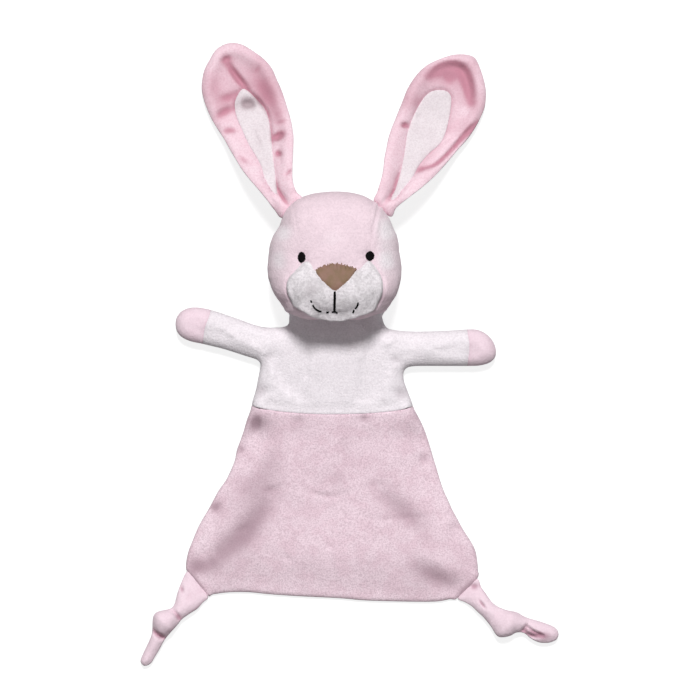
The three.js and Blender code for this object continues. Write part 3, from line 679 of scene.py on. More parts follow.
def velour_finish(name, base, nap_and_painted_light, deep, nap_size, nap_share, pile_size, pile_share, pile_depth):
    """Short pile cloth: a nap mottled between two colours, with painted shade from the deep colour in
    folds, dents and seams, and painted highlights from the pale colour.
    """
    finish = Finish(name, Cloth.roughness, Cloth.sheen, Cloth.sheen_tint, Cloth.specular)
    base, nap_and_painted_light, deep = linear(*base), linear(*nap_and_painted_light), linear(*deep)
    nap = finish.grain(nap_size, Cloth.nap_detail, Cloth.nap_rough)
    nap = finish.spread(nap, Cloth.nap_low, Cloth.nap_high)
    colour = finish.mix(finish.spread(nap, 0, 1, 0, nap_share), base, nap_and_painted_light)
    # painted highlight: the pale colour where the painted light value is below 0
    pale_share = finish.spread(finish.attribute("painted_light"), -1, 0, Cloth.pale_share, 0)
    colour = finish.mix(pale_share, colour, Cloth.pale)
    tips = finish.grain(pile_size, Cloth.tip_detail, Cloth.tip_rough)
    colour = finish.mix(finish.spread(tips, Cloth.tip_low, Cloth.tip_high, 0, pile_share), colour, deep)
    # painted shade: the deep colour where the painted light value is above 0
    deep_share = finish.spread(finish.attribute("painted_light"), 0, 1, 0, Cloth.deep_share)
    colour = finish.mix(deep_share, colour, deep)
    finish.put(colour, finish.shader.inputs["Base Color"])
    pile = finish.grain(pile_size, Cloth.pile_detail, Cloth.pile_rough)
    fibre = finish.grain(Cloth.fibre_size, Cloth.fibre_detail, Cloth.fibre_rough)
    finish.bump(finish.sum(pile, fibre, Cloth.fibre_share), pile_depth, Cloth.bump)
    return finish.material


class Thread:
    """What both satin stitch threads share."""
    detail, rough, low, high = 2, 0.5, 0.35, 0.65
    twist_size, twist_detail, twist_rough = 0.25, 1, 0.5
    twist_depth, bump = 0.12, 0.4


def thread_finish(name, base, deep, roughness, tone_size, specular):
    """Satin stitch thread: a soft gloss and a twist along each thread."""
    finish = Finish(name, roughness, specular=specular)
    tone = finish.spread(finish.grain(tone_size, Thread.detail, Thread.rough), Thread.low, Thread.high)
    finish.put(finish.mix(tone, linear(*base), linear(*deep)), finish.shader.inputs["Base Color"])
    twist = finish.grain(Thread.twist_size, Thread.twist_detail, Thread.twist_rough)
    finish.bump(twist, Thread.twist_depth, Thread.bump)
    return finish.material


class Wool:
    """The fibre filling's finish."""
    roughness, sheen = 0.95, 0.2
    pale, deep = (246, 246, 244), (222, 222, 220)
    tone_size, tone_detail, tone_rough, low, high = 3, 4, 0.6, 0.35, 0.7
    tuft_size, tuft_detail, tuft_rough = 1.5, 4, 0.7
    tuft_depth, bump = 1.0, 0.8


def filling_finish():
    """Loose fibre, pale and tufted."""
    finish = Finish("polyester_filling", Wool.roughness, Wool.sheen)
    tone = finish.grain(Wool.tone_size, Wool.tone_detail, Wool.tone_rough)
    tone = finish.spread(tone, Wool.low, Wool.high)
    colour = finish.mix(tone, linear(*Wool.pale), linear(*Wool.deep))
    finish.put(colour, finish.shader.inputs["Base Color"])
    tufts = finish.grain(Wool.tuft_size, Wool.tuft_detail, Wool.tuft_rough)
    finish.bump(tufts, Wool.tuft_depth, Wool.bump)
    return finish.material


# Each velour: base, second nap and deep colour, nap size and share, pile size, share and depth; the deep
# colour is also its painted shade
velours = {
    "pink_velour": [(238, 216, 226), (231, 206, 217), (172, 124, 142), 14, 0.45, 1.0, 0.1, 0.5],
    "head_pink_velour": [(239, 217, 226), (230, 209, 218), (176, 152, 162), 9, 0.6, 1.2, 0.18, 0.9],
    "muzzle_velour": [(240, 234, 238), (216, 211, 214), (176, 168, 172), 5, 0.75, 1.3, 0.4, 1.0],
    "ear_pink_velour": [(240, 213, 223), (233, 199, 211), (186, 121, 140), 12, 0.5, 1.0, 0.2, 0.5],
    "blanket_pink_velour": [(243, 220, 230), (230, 200, 212), (164, 135, 147), 9, 0.55, 0.8, 0.42, 0.5],
    "white_velour": [(244, 237, 242), (234, 227, 232), (186, 176, 182), 10, 0.4, 1.1, 0.24, 0.8],
    "ear_white_velour": [(230, 221, 225), (221, 210, 215), (164, 145, 151), 12, 0.4, 1.0, 0.2, 0.5],
}
pink, head_pink, muzzle_white, ear_pink, blanket_pink, white, ear_white = (
    velour_finish(name, *values) for name, values in velours.items()
)
brown_thread = thread_finish("nose_thread", (132, 107, 84), (145, 113, 99), 0.6, 6.0, 0.35)
black_thread = thread_finish("black_thread", (9, 6, 8), (4, 3, 4), 0.7, 1.4, 0.1)
filling = filling_finish()


# Body, arms and mitts

garment_step = 1.2
garment_grid = 1.35
garment_rings = (0.12, 0.45, 1.0, 1.8, 2.8)
crown_height = 0.8
crown_reach = 30.0
cuff_seam = (0.85, 0.9)
cuff_ridge = (0.3, 1.4, 2.2)
# the cuff seam's painted shade: its share and width
cuff_painted_shade = (0.35, 0.7)
back_cuff_share = 0.5
garment_lumps = [(0.22, 13, 1), (0.1, 4.5, 2)]
soft_edge = 3
garment_painted_shade_depth = 2
arm_seams = {"left": (-37.5, -51.0), "right": (36.5, 50.5)}


def with_waist(sides, step):
    """The closed outline of a piece, and the part of it that isn't the waist."""
    sides = smooth_line(sides, step)
    return np.vstack([sides, waist_line[::-1][1:-1]]), sides


def body_section(xy):
    """Height of the middle and half thickness of the body, thinner towards the waist."""
    rise = step_up((xy[:, 1] - waist_y) / waist_rise)
    middle = waist_half_thickness + (body_middle - waist_half_thickness) * rise
    arm_share = step_up((np.abs(xy[:, 0]) - arm_start) / arm_fade)
    half = middle + body_above_middle * rise
    return middle, half + (arm_half_thickness - half) * arm_share, rise


waist_line = smooth_line(waist_line, garment_step)
outline, sides = with_waist(garment_outline, garment_step)
cuffs = [smooth_line(cuff_left, garment_step), smooth_line(cuff_right, garment_step)]
shoulders = [straight_runs(shoulder_left), straight_runs(shoulder_right)]
xy, triangles = cut(outline, garment_grid, garment_rings, [*cuffs, *shoulders])
edge = nearest(xy, sides)[0]
waist_far = nearest(xy, waist_line)[0]
cuff_far = np.minimum(nearest(xy, cuffs[0])[0], nearest(xy, cuffs[1])[0])
middle, half, rise = body_section(xy)
swell = half * round_edge(edge, waist_roundness + (filling_roundness - waist_roundness) * rise)
crown = crown_height * step_up(edge / crown_reach) * rise
at_waist = 1 - round_edge(waist_far, waist_dip_width)
garment_marks = [
    ([[-40.0, -10.5]], 1.3, 4.0),
    ([[37.0, -12.0]], 1.4, 4.5),
    ([[-39.0, 6.5], [-33.0, 9.0]], 0.9, 2.2),
    ([[37.0, 4.5], [31.0, 7.5]], 0.9, 2.2),
    ([[-36.5, -19.5], [-33.0, -15.0]], 0.5, 2.0),
]
dents = strokes(xy, garment_marks)
cuff_dip = groove(cuff_far, *cuff_seam) - groove(cuff_far, *cuff_ridge)
texture = uneven(xy, garment_lumps)
soft = round_edge(edge, soft_edge) * step_up(waist_far / waist_fade)
top = middle + swell + crown + (texture - dents - cuff_dip) * soft - waist_dip * at_waist
bottom = np.maximum(middle - swell + back_cuff_share * cuff_dip * soft, floor_gap)
bottom = np.minimum(bottom + waist_back_dip * at_waist, top)
lifts, sinks = puffed(xy, triangles, top, bottom, np.minimum(edge, waist_far))
top += lifts
bottom = np.clip(bottom + sinks, floor_gap, top)
points, front, back = sewn(xy, triangles, top, bottom, waist_far < on_seam)
# painted shade in the dents, on the front only, and along the cuff seams on both layers
painted_light = np.r_[dents / garment_painted_shade_depth, dents * 0] + np.tile(groove(cuff_far, *cuff_painted_shade), 2)
garment = skin_of(points, [front, back], painted_light)


def garment_part(layer):
    """The triangles of one layer, shared out among body, sleeves and mitts."""
    centre = points[layer].mean(1)
    cx, cy = centre[:, 0], centre[:, 1]
    mitt_l = cx < np.interp(cy, cuffs[0][::-1, 1], cuffs[0][::-1, 0])
    mitt_r = cx > np.interp(cy, cuffs[1][::-1, 1], cuffs[1][::-1, 0])
    arm_l = (cx < shoulder_left[0][0]) & (cy > shoulder_left[1][1])
    arm_r = (cx > shoulder_right[0][0]) & (cy > shoulder_right[1][1])
    return {
        "mitt_left": layer[mitt_l & arm_l],
        "mitt_right": layer[mitt_r & arm_r],
        "sleeve_left": layer[arm_l & ~mitt_l],
        "sleeve_right": layer[arm_r & ~mitt_r],
        "torso": layer[~arm_l & ~arm_r],
    }


fronts, backs = garment_part(front), garment_part(back)
for node, layer in (("torso_front_panel", fronts["torso"]), ("torso_back_panel", backs["torso"])):
    piece = panel(node, garment, layer, white)
    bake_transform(piece)
for side, (start, end) in arm_seams.items():
    for part, material, slot in (("sleeve", white, "white_velour"), ("mitt", pink, "pink_velour")):
        node = f"{part}_{side}"
        piece = panel(node, garment, np.vstack([fronts[node], backs[node]]), material)
        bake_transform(piece)


# Fillings of the body and the arms

under_cloth = 2.6
filling_less_round = 2
filling_step = 2
filling_grid = 2.4
filling_rings = (0.3, 1.2)
filling_lumps = [(0.5, 5, 4)]
filling_gap = 0.2
fillings = {
    "torso": [
        [-41, -15], [-38, -2], [-34, 8], [-34, 20], [-22, 23], [-19, 27], [19, 27], [22, 23],
        [33, 19], [33, 6], [35, -4], [40, -15], [30, -18], [0, -19.5], [-30, -18],
    ],
    "arm_left": [
        [-52, 11.5], [-62, 14.8], [-74, 17.4], [-80.5, 19], [-83.8, 23.5], [-83.6, 28],
        [-80.8, 31], [-76, 32], [-67, 30.8], [-52.5, 26.2],
    ],
    "arm_right": [
        [51, 19.2], [63, 19.6], [73, 20], [79, 19.6], [83.2, 17], [85.6, 13.5], [85.9, 9],
        [84, 7], [79.5, 5.8], [73, 5.6], [57, 5.6], [51, 5.5],
    ],
}
for body, line in fillings.items():
    outline = smooth_line(line, filling_step, True)
    xy, triangles = cut(outline, filling_grid, filling_rings)
    far = nearest(xy, closed(outline))[0]
    middle, half, rise = body_section(xy)
    swell = (half - under_cloth) * round_edge(far, filling_roundness - filling_less_round)
    wool = uneven(xy, filling_lumps) * round_edge(far, soft_edge)
    bottom = np.maximum(middle - swell + wool, velour + filling_gap)
    points, front, back = sewn(xy, triangles, middle + swell + wool, bottom)
    node = f"{body}_stuffing"
    filler = make(f"{node}_wool", points, np.vstack([front, back]), filling, node, body)


# Blanket

blanket_step = 1.3
blanket_grid = 1.4
blanket_rings = (0.15, 0.5, 1.1, 1.9)
blanket_lumps = [(0.55, 26, 5), (0.25, 9, 6), (0.12, 3.6, 7)]
tone_lumps = [(0.1, 16, 31)]
# an even share of the deep colour over the whole blanket, which the painted shade and highlights raise
# and lower
blanket_even_deep_share = 0.2
hem_soft = 5
hem_soft_share = 0.25
hem_start = 2
hem_sink = 0.8
hem_sink_reach = 6
blanket_painted_shade_depth = 7
blanket_marks = [
    ([[-74.0, -106.5], [-65.5, -101.0], [-54.0, -92.5], [-44.6, -83.1], [-37.0, -75.0],
      [-32.5, -70.2]], 3.0, 6.5),
    ([[-80.0, -109.5], [-74.0, -106.8], [-66.0, -101.5]], 2.2, 4.5),
    ([[73.0, -121.0], [66.5, -118.5], [57.0, -113.5], [47.0, -108.0]], 1.5, 5.0),
    ([[50.0, -92.0], [45.7, -84.2], [34.0, -73.5], [24.0, -65.8]], 1.5, 5.5),
    ([[-46.5, -30.4], [-39.5, -29.2]], 2.6, 4.6),
    ([[-52.4, -43.2], [-49.6, -41.9]], 1.9, 2.6),
    ([[-66.4, -73.2], [-64.0, -77.5]], 1.9, 2.8),
    ([[46.6, -23.8], [43.8, -25.6]], 1.5, 2.6),
    ([[51.6, -47.6], [46.8, -49.6]], 1.6, 3.0),
    ([[67.6, -83.6], [65.0, -87.8]], 1.4, 2.8),
    ([[-21.5, -26.3], [-17.5, -27.4]], 0.9, 2.6),
    ([[14.0, -25.0], [19.0, -25.6]], 0.9, 2.4),
    ([[-37.0, -63.0], [-34.5, -68.5]], 0.7, 5.0),
    ([[-15.0, -65.5], [-8.0, -68.0], [1.0, -68.6], [8.0, -65.8]], 0.8, 1.4),
    ([[12.0, -66.0], [25.0, -62.0], [37.0, -65.0]], 0.4, 1.5),
    ([[14.0, -79.0], [26.0, -81.0], [43.0, -80.0], [60.0, -79.0]], 0.45, 1.6),
    ([[-38.0, -66.0], [-25.0, -62.5]], 0.4, 1.5),
    ([[-4.5, -95.0], [0.5, -97.0]], 0.5, 1.4),
    ([[-28.0, -101.5], [-23.0, -104.0]], 0.5, 1.5),
    ([[-54.0, -88.5], [-46.0, -85.0]], 0.5, 1.6),
]
# painted shade where the amount is above 0 and painted highlights where it is below 0: line or point,
# amount and width
blanket_painted_light = [
    ([[-46.0, -27.0], [-39.0, -28.6]], 0.62, 4.6),
    ([[-52.0, -42.0], [-49.5, -45.0]], 0.35, 3.0),
    ([[-66.5, -72.5], [-63.5, -76.0]], 0.4, 3.2),
    ([[-65.6, -79.0], [-65.0, -92.0]], 0.15, 3.0),
    ([[-80.0, -104.5], [-70.0, -107.5], [-61.5, -104.5]], 0.55, 5.0),
    ([[-67.0, -99.5], [-55.5, -97.0], [-47.4, -89.2], [-41.6, -79.9], [-38.1, -70.6]], 0.28, 6.0),
    ([[-34.6, -39.4], [-38.1, -56.7], [-46.2, -66.0], [-53.0, -78.0]], 0.32, 10.0),
    ([[25.0, -67.0], [40.6, -79.9], [48.5, -86.5]], 0.25, 6.5),
    ([[37.0, -103.0], [50.0, -109.5], [60.3, -114.6], [68.0, -120.0]], 0.3, 5.0),
    ([[68.5, -123.0], [77.5, -114.0]], 0.5, 1.8),
    ([[-79.0, -110.8], [-74.6, -116.4], [-70.4, -122.0]], 0.5, 1.3),
    ([[49.9, -48.6]], 0.25, 4.5),
    ([[44.0, -24.0], [44.3, -32.0]], 0.2, 1.8),
    ([[-19.6, -27.8]], 0.22, 4.0),
    ([[13.5, -25.2], [19.0, -25.6]], 0.28, 3.0),
    ([[5.9, -40.5]], 0.15, 4.0),
    ([[1.2, -54.4], [2.4, -62.5]], 0.15, 5.0),
    ([[-42.0, -34.0], [-44.0, -46.0], [-52.3, -54.4]], -0.4, 6.0),
    ([[-71.0, -80.0], [-71.0, -94.0], [-70.0, -113.0]], -0.45, 5.5),
    ([[-38.0, -23.5], [-28.0, -24.5]], -0.25, 3.0),
    ([[26.0, -23.8], [38.0, -23.2]], -0.25, 3.0),
    ([[48.0, -34.0], [53.0, -58.0], [66.0, -90.0]], -0.2, 6.0),
    ([[-62.0, -115.5], [-30.0, -116.0], [20.0, -119.0], [50.0, -121.0]], -0.2, 5.5),
    ([[-10.0, -85.0], [20.0, -89.0]], -0.12, 14.0),
]

outline, sides = with_waist(blanket_outline, blanket_step)
xy, triangles = cut(outline, blanket_grid, blanket_rings)
edge = nearest(xy, sides)[0]
waist_far = nearest(xy, waist_line)[0]
at_waist = 1 - round_edge(waist_far, waist_dip_width)
dents = strokes(xy, blanket_marks)
# painted shade and highlights from the marks, over the even deep share and a little random tone
nap_and_painted_light = blanket_even_deep_share + strokes(xy, blanket_painted_light) + uneven(xy, tone_lumps)
texture = uneven(xy, blanket_lumps)
puff = blanket_puff * (1 - groove(edge, 1, puff_reach))
soft = step_up(edge / hem_soft)
relief = (texture - dents) * (hem_soft_share + (1 - hem_soft_share) * soft)
lift = np.maximum(puff + relief * step_up(edge / hem_start), -hem_sink * step_up(edge / hem_sink_reach))
rim = hem_half_thickness * round_edge(edge, hem_roundness)
near_waist = step_up((xy[:, 1] - waist_y + waist_reach) / waist_reach)
waist_swell = waist_half_thickness * round_edge(edge, waist_roundness)
waist_relief = (texture - dents) * soft * step_up(waist_far / waist_fade)
top = hem_half_thickness + blanket_gap + rim + lift
top += (waist_half_thickness + waist_swell + waist_relief - top) * near_waist
top -= waist_dip * at_waist
bottom = hem_half_thickness + blanket_gap - rim
waist_bottom = waist_half_thickness - waist_swell + floor_gap
bottom += (waist_bottom - bottom) * near_waist + waist_back_dip * at_waist
bottom = np.minimum(bottom, top)
points, front, back = sewn(xy, triangles, top, bottom, waist_far < on_seam)
# front: painted shade in the dents, and the marks' painted shade and highlights; back: only the even deep
# share
painted_light = np.r_[dents / blanket_painted_shade_depth + nap_and_painted_light, nap_and_painted_light * 0 + blanket_even_deep_share]
blanket = skin_of(points, [front, back], painted_light)
size, area = plan_size(outline)
layers = []
for node, layer in (("blanket_back", back), ("blanket_front", front)):
    piece = panel(node, blanket, layer, blanket_pink)
    layers.append(piece)
    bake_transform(piece)


# Head

# The head's surface is found along rays from its heart, and its panels are cut on that surface laid flat
heart = np.array(heart)
least = 1e-9
halvings = 30
ray_reach = 90.0
face_reach = 60.0
slope_step = 0.4
spread_radius = 40
side_points = 180
side_seam_y = 50.0
outline_step = 0.9
gusset_step = 1.0
chin_step = 0.5
chin_line = [[0.2, 28.5], [0.2, 27.9]]
gusset_run = 24
chin_points = 40
chin_start = 0.4
plan_end = 90
head_grid = 1.0
head_rings = (0.5, 1.1)
head_lumps = [(0.3, 14, 8), (0.12, 4.5, 9)]
eye_dent = (1.3, 4.2)
chin_tuck_depth = 1.7
chin_tuck_y = 33
chin_tuck_fade = 4
chin_tuck_width = 17
nose_step = 0.5
nose_clear = 3
low_lip_y = 38
low_lip_fade = 6
muzzle_seam = (0.65, 1.1)
muzzle_ridge = (0.6, 3.0, 4.5)
lip_ridge = (1.3, 2.0, 2.6)
gusset_left_seam = (0.15, 0.9)
gusset_right_seam = (0.4, 0.9)
gusset_ridge = (0.35, 1.6, 2.6)
gusset_ridge_x = 21
gusset_fade_y = 66
gusset_fade = 14
gusset_fade_share = 0.2
chin_seam = (0.7, 1.1)
chin_seam_y = 30
rim_seam = (0.2, 1.1)
face_front = 4
# shares of painted shade in the seams and in the dents under the stitches
head_seam_painted_shade = 0.2
head_mark_painted_shade = 0.15
nape_grid = 1.4
nape_rings = (0.5, 1.2)
nape_seam_points = 120
nape_seam = (0.6, 1.1)
nape_seam_fade = 8
nape_tuck_width = 9
nape_floor = 0.02
# share of painted shade along the nape seams
nape_seam_painted_shade = 0.3
head_filling_under = 3.2
head_filling_lumps = [(0.4, 6, 12)]
ball_parts = 5


def swelling(p, centre, low, high, power):
    """How far points lie outside a rounded form, below 0 inside it."""
    q = p - centre
    power = np.broadcast_to(power, len(p))
    s = (np.abs(q / np.where(q > 0, high, low)) ** power[:, None]).sum(1) ** (1 / power)
    return np.linalg.norm(q, axis=1) * (1 - 1 / np.maximum(s, least))


def merge(a, b, width):
    """The union of two forms, rounded over that width."""
    share = np.clip(0.5 + 0.5 * (b - a) / width, 0, 1)
    return b * (1 - share) + a * share - width * share * (1 - share)


def head_field(p):
    """How far points lie outside the head, below 0 inside it."""
    centre = np.array([0, head_y, head_middle])
    low = np.array([head_half_width, chin_drop, nape_depth])
    high = np.array([head_half_width, crown_rise, face_depth])
    jaw = step_up((head_y - p[:, 1]) / jaw_reach)
    roundness = head_roundness + (jaw_roundness - head_roundness) * jaw
    form = swelling(p, centre, low, high, roundness)
    radii = np.array([cheek_half_width, cheek_half_height, cheek_puff])
    for sign in (-1, 1):
        cheek = swelling(p, np.array([sign * cheek_spread, *cheek_at]), radii, radii, 2)
        form = merge(form, cheek, cheek_merge)
    radii = np.array([chin_half_width, chin_half_height, chin_puff])
    form = merge(form, swelling(p, np.array([0, *chin_at]), radii, radii, 2), cheek_merge)
    return -merge(-form, p[:, 2], floor_merge)


def out_from(start, way, low=0.0, high=ray_reach):
    """Where rays from inside the head leave it."""
    low, high = np.full(len(way), low), np.full(len(way), high)
    for _ in range(halvings):
        half = (low + high) / 2
        within = head_field(start + way * half[:, None]) < 0
        low, high = np.where(within, half, low), np.where(within, high, half)
    return start + way * low[:, None]


def head_normal(p):
    """The way out of the head at points on its surface."""
    steps = slope_step * np.eye(3)
    slope = np.stack([head_field(p + step) - head_field(p - step) for step in steps], 1)
    return slope / np.linalg.norm(slope, axis=1)[:, None]


def with_sides(p):
    """The head's sides drawn in below the cheeks and beside the crown, as the side seams pull them."""
    height, left, right = np.array(side_draw).T
    share = step_up((np.abs(p[:, 0]) - side_start) / side_width)
    draw = np.where(p[:, 0] < 0, np.interp(p[:, 1], height, left), np.interp(p[:, 1], height, right))
    drawn = p.copy()
    drawn[:, 0] -= np.sign(p[:, 0]) * share * draw
    return drawn


def spread_out(p, facing):
    """The head's surface laid flat round the middle of its face, or of its nape."""
    way = (p - heart) / np.linalg.norm(p - heart, axis=1)[:, None]
    turn = np.arccos(np.clip(facing * way[:, 2], -1, 1))
    flat = np.hypot(way[:, 0], way[:, 1])
    return way[:, :2] * (turn / np.maximum(flat, least))[:, None] * spread_radius


def wrap_round(plan, facing):
    """The way back from that flat plan to the head's surface."""
    turn = np.linalg.norm(plan, axis=1) / spread_radius
    share = np.sinc(turn / np.pi) / spread_radius
    way = np.c_[plan * share[:, None], facing * np.cos(turn)]
    return out_from(heart, way)


def on_face(line):
    """Points given in plan, put on the front of the head."""
    line = np.asarray(line, float)
    start = np.c_[line, np.full(len(line), head_middle)]
    return out_from(start, np.tile([0.0, 0.0, 1.0], (len(line), 1)), 0, face_reach)


turns = np.linspace(0, 2 * np.pi, side_points + 1)[:-1]
around = np.c_[np.cos(turns), np.sin(turns), np.zeros(side_points)]
side_seam = out_from(np.array([0, side_seam_y, head_middle]), around)
face_seams = {
    "muzzle": on_face(closed(smooth_line(muzzle_outline, outline_step, True))),
    "gusset_left": on_face(smooth_line(gusset_left, gusset_step)),
    "gusset_right": on_face(smooth_line(gusset_right, gusset_step)),
    "chin": on_face(smooth_line(chin_line, chin_step)),
}
face_plan = {name: spread_out(line, 1) for name, line in face_seams.items()}
side_plan = spread_out(side_seam, 1)
for name in ("gusset_left", "gusset_right"):
    line = face_plan[name]
    way = (line[0] - line[1]) / np.linalg.norm(line[0] - line[1])
    face_plan[name] = np.vstack([line[0] + way * np.arange(gusset_run, 0, -1)[:, None], line])
chin_top = face_plan["muzzle"][:, 1].min() + chin_start
face_plan["chin"] = np.c_[np.zeros(chin_points), np.linspace(chin_top, -plan_end, chin_points)]
xy, triangles = cut(side_plan, head_grid, head_rings, list(face_plan.values()))
points = wrap_round(xy, 1)
normals = head_normal(points)
face_marks = [
    ([eyes[0][:2]], *eye_dent),
    ([eyes[1][:2]], *eye_dent),
    (mouth_line, 1.0, 1.6),
    ([[-13.5, 40.0], [-10.2, 35.8], [-6.6, 33.0], [0.5, 31.6], [6.0, 31.6], [10.6, 33.4],
      [14.2, 38.4]], 0.6, 1.4),
]
# painted shade below the cheeks, beside the crown gusset and on the muzzle's left; painted highlights on
# the temples, upper cheeks and forehead: line, amount, width
head_painted_light = [
    ([[-29.5, 43.0], [-24.0, 35.0]], 0.6, 4.5),
    ([[30.0, 43.0], [24.0, 35.0]], 0.65, 4.5),
    ([[-28.5, 80.0], [-26.5, 70.0]], -0.75, 5.5),
    ([[-31.5, 66.0], [-28.5, 54.0]], -0.65, 5.0),
    ([[28.0, 84.0], [29.5, 70.0]], -0.9, 5.5),
    ([[27.0, 66.0], [30.0, 54.0]], -0.85, 5.5),
    ([[-3.0, 76.0], [2.0, 68.0]], -0.25, 7.0),
    ([[-22.0, 66.0], [-12.0, 72.0]], 0.1, 6.0),
    ([[19.0, 74.0], [15.0, 66.0]], 0.1, 4.0),
    ([[-15.5, 46.5], [-8.5, 41.0]], 0.62, 6.2),
]
nose_line = smooth_line(nose_outline, nose_step, True)


def chin_tuck(p):
    """How deep the neck seam draws the head in under the chin."""
    deep = chin_tuck_depth * step_up((chin_tuck_y - p[:, 1]) / chin_tuck_fade)
    return groove(p[:, 0], deep, chin_tuck_width)


def face_relief(p):
    """How deep the seams and the pull of the stitches draw the face in."""
    plan = p[:, :2]
    flat = spread_out(p, 1)
    far = {name: nearest(flat, line)[0] for name, line in face_plan.items()}
    within = inside(flat, face_plan["muzzle"][:-1])
    nose_far = nearest(plan, closed(nose_line))[0]
    by_nose = np.where(inside(plan, nose_line), 0, step_up(nose_far / nose_clear))
    low_lip = step_up((low_lip_y - p[:, 1]) / low_lip_fade)
    rise = step_up((p[:, 1] - gusset_fade_y) / gusset_fade)
    fade = gusset_fade_share + (1 - gusset_fade_share) * rise
    depth = groove(far["muzzle"], *muzzle_seam) * by_nose
    depth -= groove(far["muzzle"], *muzzle_ridge) * within * by_nose
    depth -= groove(far["muzzle"], *lip_ridge) * within * low_lip
    depth += chin_tuck(p) * ~within
    depth += groove(far["gusset_left"], *gusset_left_seam) * ~within * fade
    depth += groove(far["gusset_right"], *gusset_right_seam) * ~within * fade
    depth -= groove(far["gusset_right"], *gusset_ridge) * fade * (p[:, 0] > gusset_ridge_x)
    depth += groove(far["chin"], *chin_seam) * (p[:, 1] < chin_seam_y)
    depth += groove(nearest(p, closed(side_seam))[0], *rim_seam)
    marks = strokes(plan, face_marks) * (p[:, 2] > head_middle + face_front)
    return depth, marks


def without_strays(triangles, parts):
    """Number of each triangle's panel, with corners that hang on by a point given to the panel beside."""
    sides = np.sort(sides_of(triangles), axis=1)
    owner = np.tile(np.arange(len(triangles)), 3)
    order = np.lexsort((sides[:, 1], sides[:, 0]))
    sides, owner = sides[order], owner[order]
    shared = (sides[1:] == sides[:-1]).all(1)
    a, b = owner[:-1][shared], owner[1:][shared]
    same = parts[a] == parts[b]
    patch, last = np.arange(len(triangles)), None
    while last is None or (patch != last).any():
        last = patch.copy()
        np.minimum.at(patch, a[same], last[b[same]])
        np.minimum.at(patch, b[same], last[a[same]])
    whole = parts.copy()
    for part in np.unique(parts):
        patches, sizes = np.unique(patch[parts == part], return_counts=True)
        for stray in patches[sizes < sizes.max()]:
            beside = np.r_[parts[b[~same & (patch[a] == stray)]], parts[a[~same & (patch[b] == stray)]]]
            whole[patch == stray] = np.bincount(beside).argmax()
    return whole


def head_wool(p):
    """How far the filling pushes the cloth out, by lumps and in the two low cheeks."""
    push = uneven(p, head_lumps)
    for x, y in low_cheeks:
        far = (p[:, 0] - x) ** 2 + (p[:, 1] - y) ** 2
        push += low_cheek_push * np.exp(-(far / low_cheek_width**2))
    return push


depth, marks = face_relief(points)
wool = head_wool(points)
points = with_sides(points - normals * (depth + marks - wool * np.exp(-depth))[:, None])
# painted shade in the seams and stitch dents, then the painted shade and highlights of the marks
painted_light = head_seam_painted_shade * np.clip(depth, 0, 1) + head_mark_painted_shade * np.clip(marks, 0, 1)
painted_light += strokes(points[:, :2], head_painted_light)
face_skin = skin_of(points, [triangles], painted_light)
centre = xy[triangles].mean(1)
gusset_plan = np.vstack([face_plan["gusset_left"], face_plan["gusset_right"][::-1]])
in_muzzle = inside(centre, face_plan["muzzle"][:-1])
in_gusset = inside(centre, gusset_plan) & ~in_muzzle
face_nodes = ["muzzle", "head_crown_gusset", "head_side_left", "head_side_right"]
parts = np.where(in_muzzle, 0, np.where(in_gusset, 1, np.where(centre[:, 0] < 0, 2, 3)))
parts = without_strays(triangles, parts)
for number, node in enumerate(face_nodes):
    material, slot = (muzzle_white, "white_velour") if node == "muzzle" else (head_pink, "pink_velour")
    piece = panel(node, face_skin, triangles[parts == number], material, "head")

nape_plan = spread_out(side_seam, -1)
back_seam = np.c_[np.zeros(nape_seam_points), np.linspace(-plan_end, plan_end, nape_seam_points)]
xy, triangles = cut(nape_plan, nape_grid, nape_rings, [back_seam])
triangles = triangles[:, ::-1]
points = wrap_round(xy, -1)
normals = head_normal(points)
side_far = nearest(points, closed(side_seam))[0]
seam_fade = np.where(points[:, 1] < side_seam_y, 1, step_up(side_far / nape_seam_fade))
depth = groove(side_far, *rim_seam) + groove(xy[:, 0], *nape_seam) * seam_fade
depth += groove(side_far, chin_tuck(points), nape_tuck_width)
wool = head_wool(points)
points = with_sides(points - normals * (depth - wool * np.exp(-depth))[:, None])
points[:, 2] = np.maximum(points[:, 2], nape_floor)
# painted shade along the nape seams
nape_skin = skin_of(points, [triangles], nape_seam_painted_shade * np.clip(depth, 0, 1))
centre = xy[triangles].mean(1)
for node, chosen in (("head_back_left", centre[:, 0] < 0), ("head_back_right", centre[:, 0] >= 0)):
    piece = panel(node, nape_skin, triangles[chosen], head_pink, "head")

ball = bmesh.new()
bmesh.ops.create_icosphere(ball, subdivisions=ball_parts, radius=1)
ball.verts.ensure_lookup_table()
ways = np.array([list(v.co.normalized()) for v in ball.verts])
faces = [[v.index for v in f.verts] for f in ball.faces]
ball.free()
outer = out_from(heart, ways)
under = head_filling_under + uneven(outer, head_filling_lumps)
points = with_sides(outer - head_normal(outer) * under[:, None])
filler = make("head_stuffing_wool", points, faces, filling, "head_stuffing", "head")


# Ears: how their panels are cut, cupped and sunk, and given painted shade and painted highlights

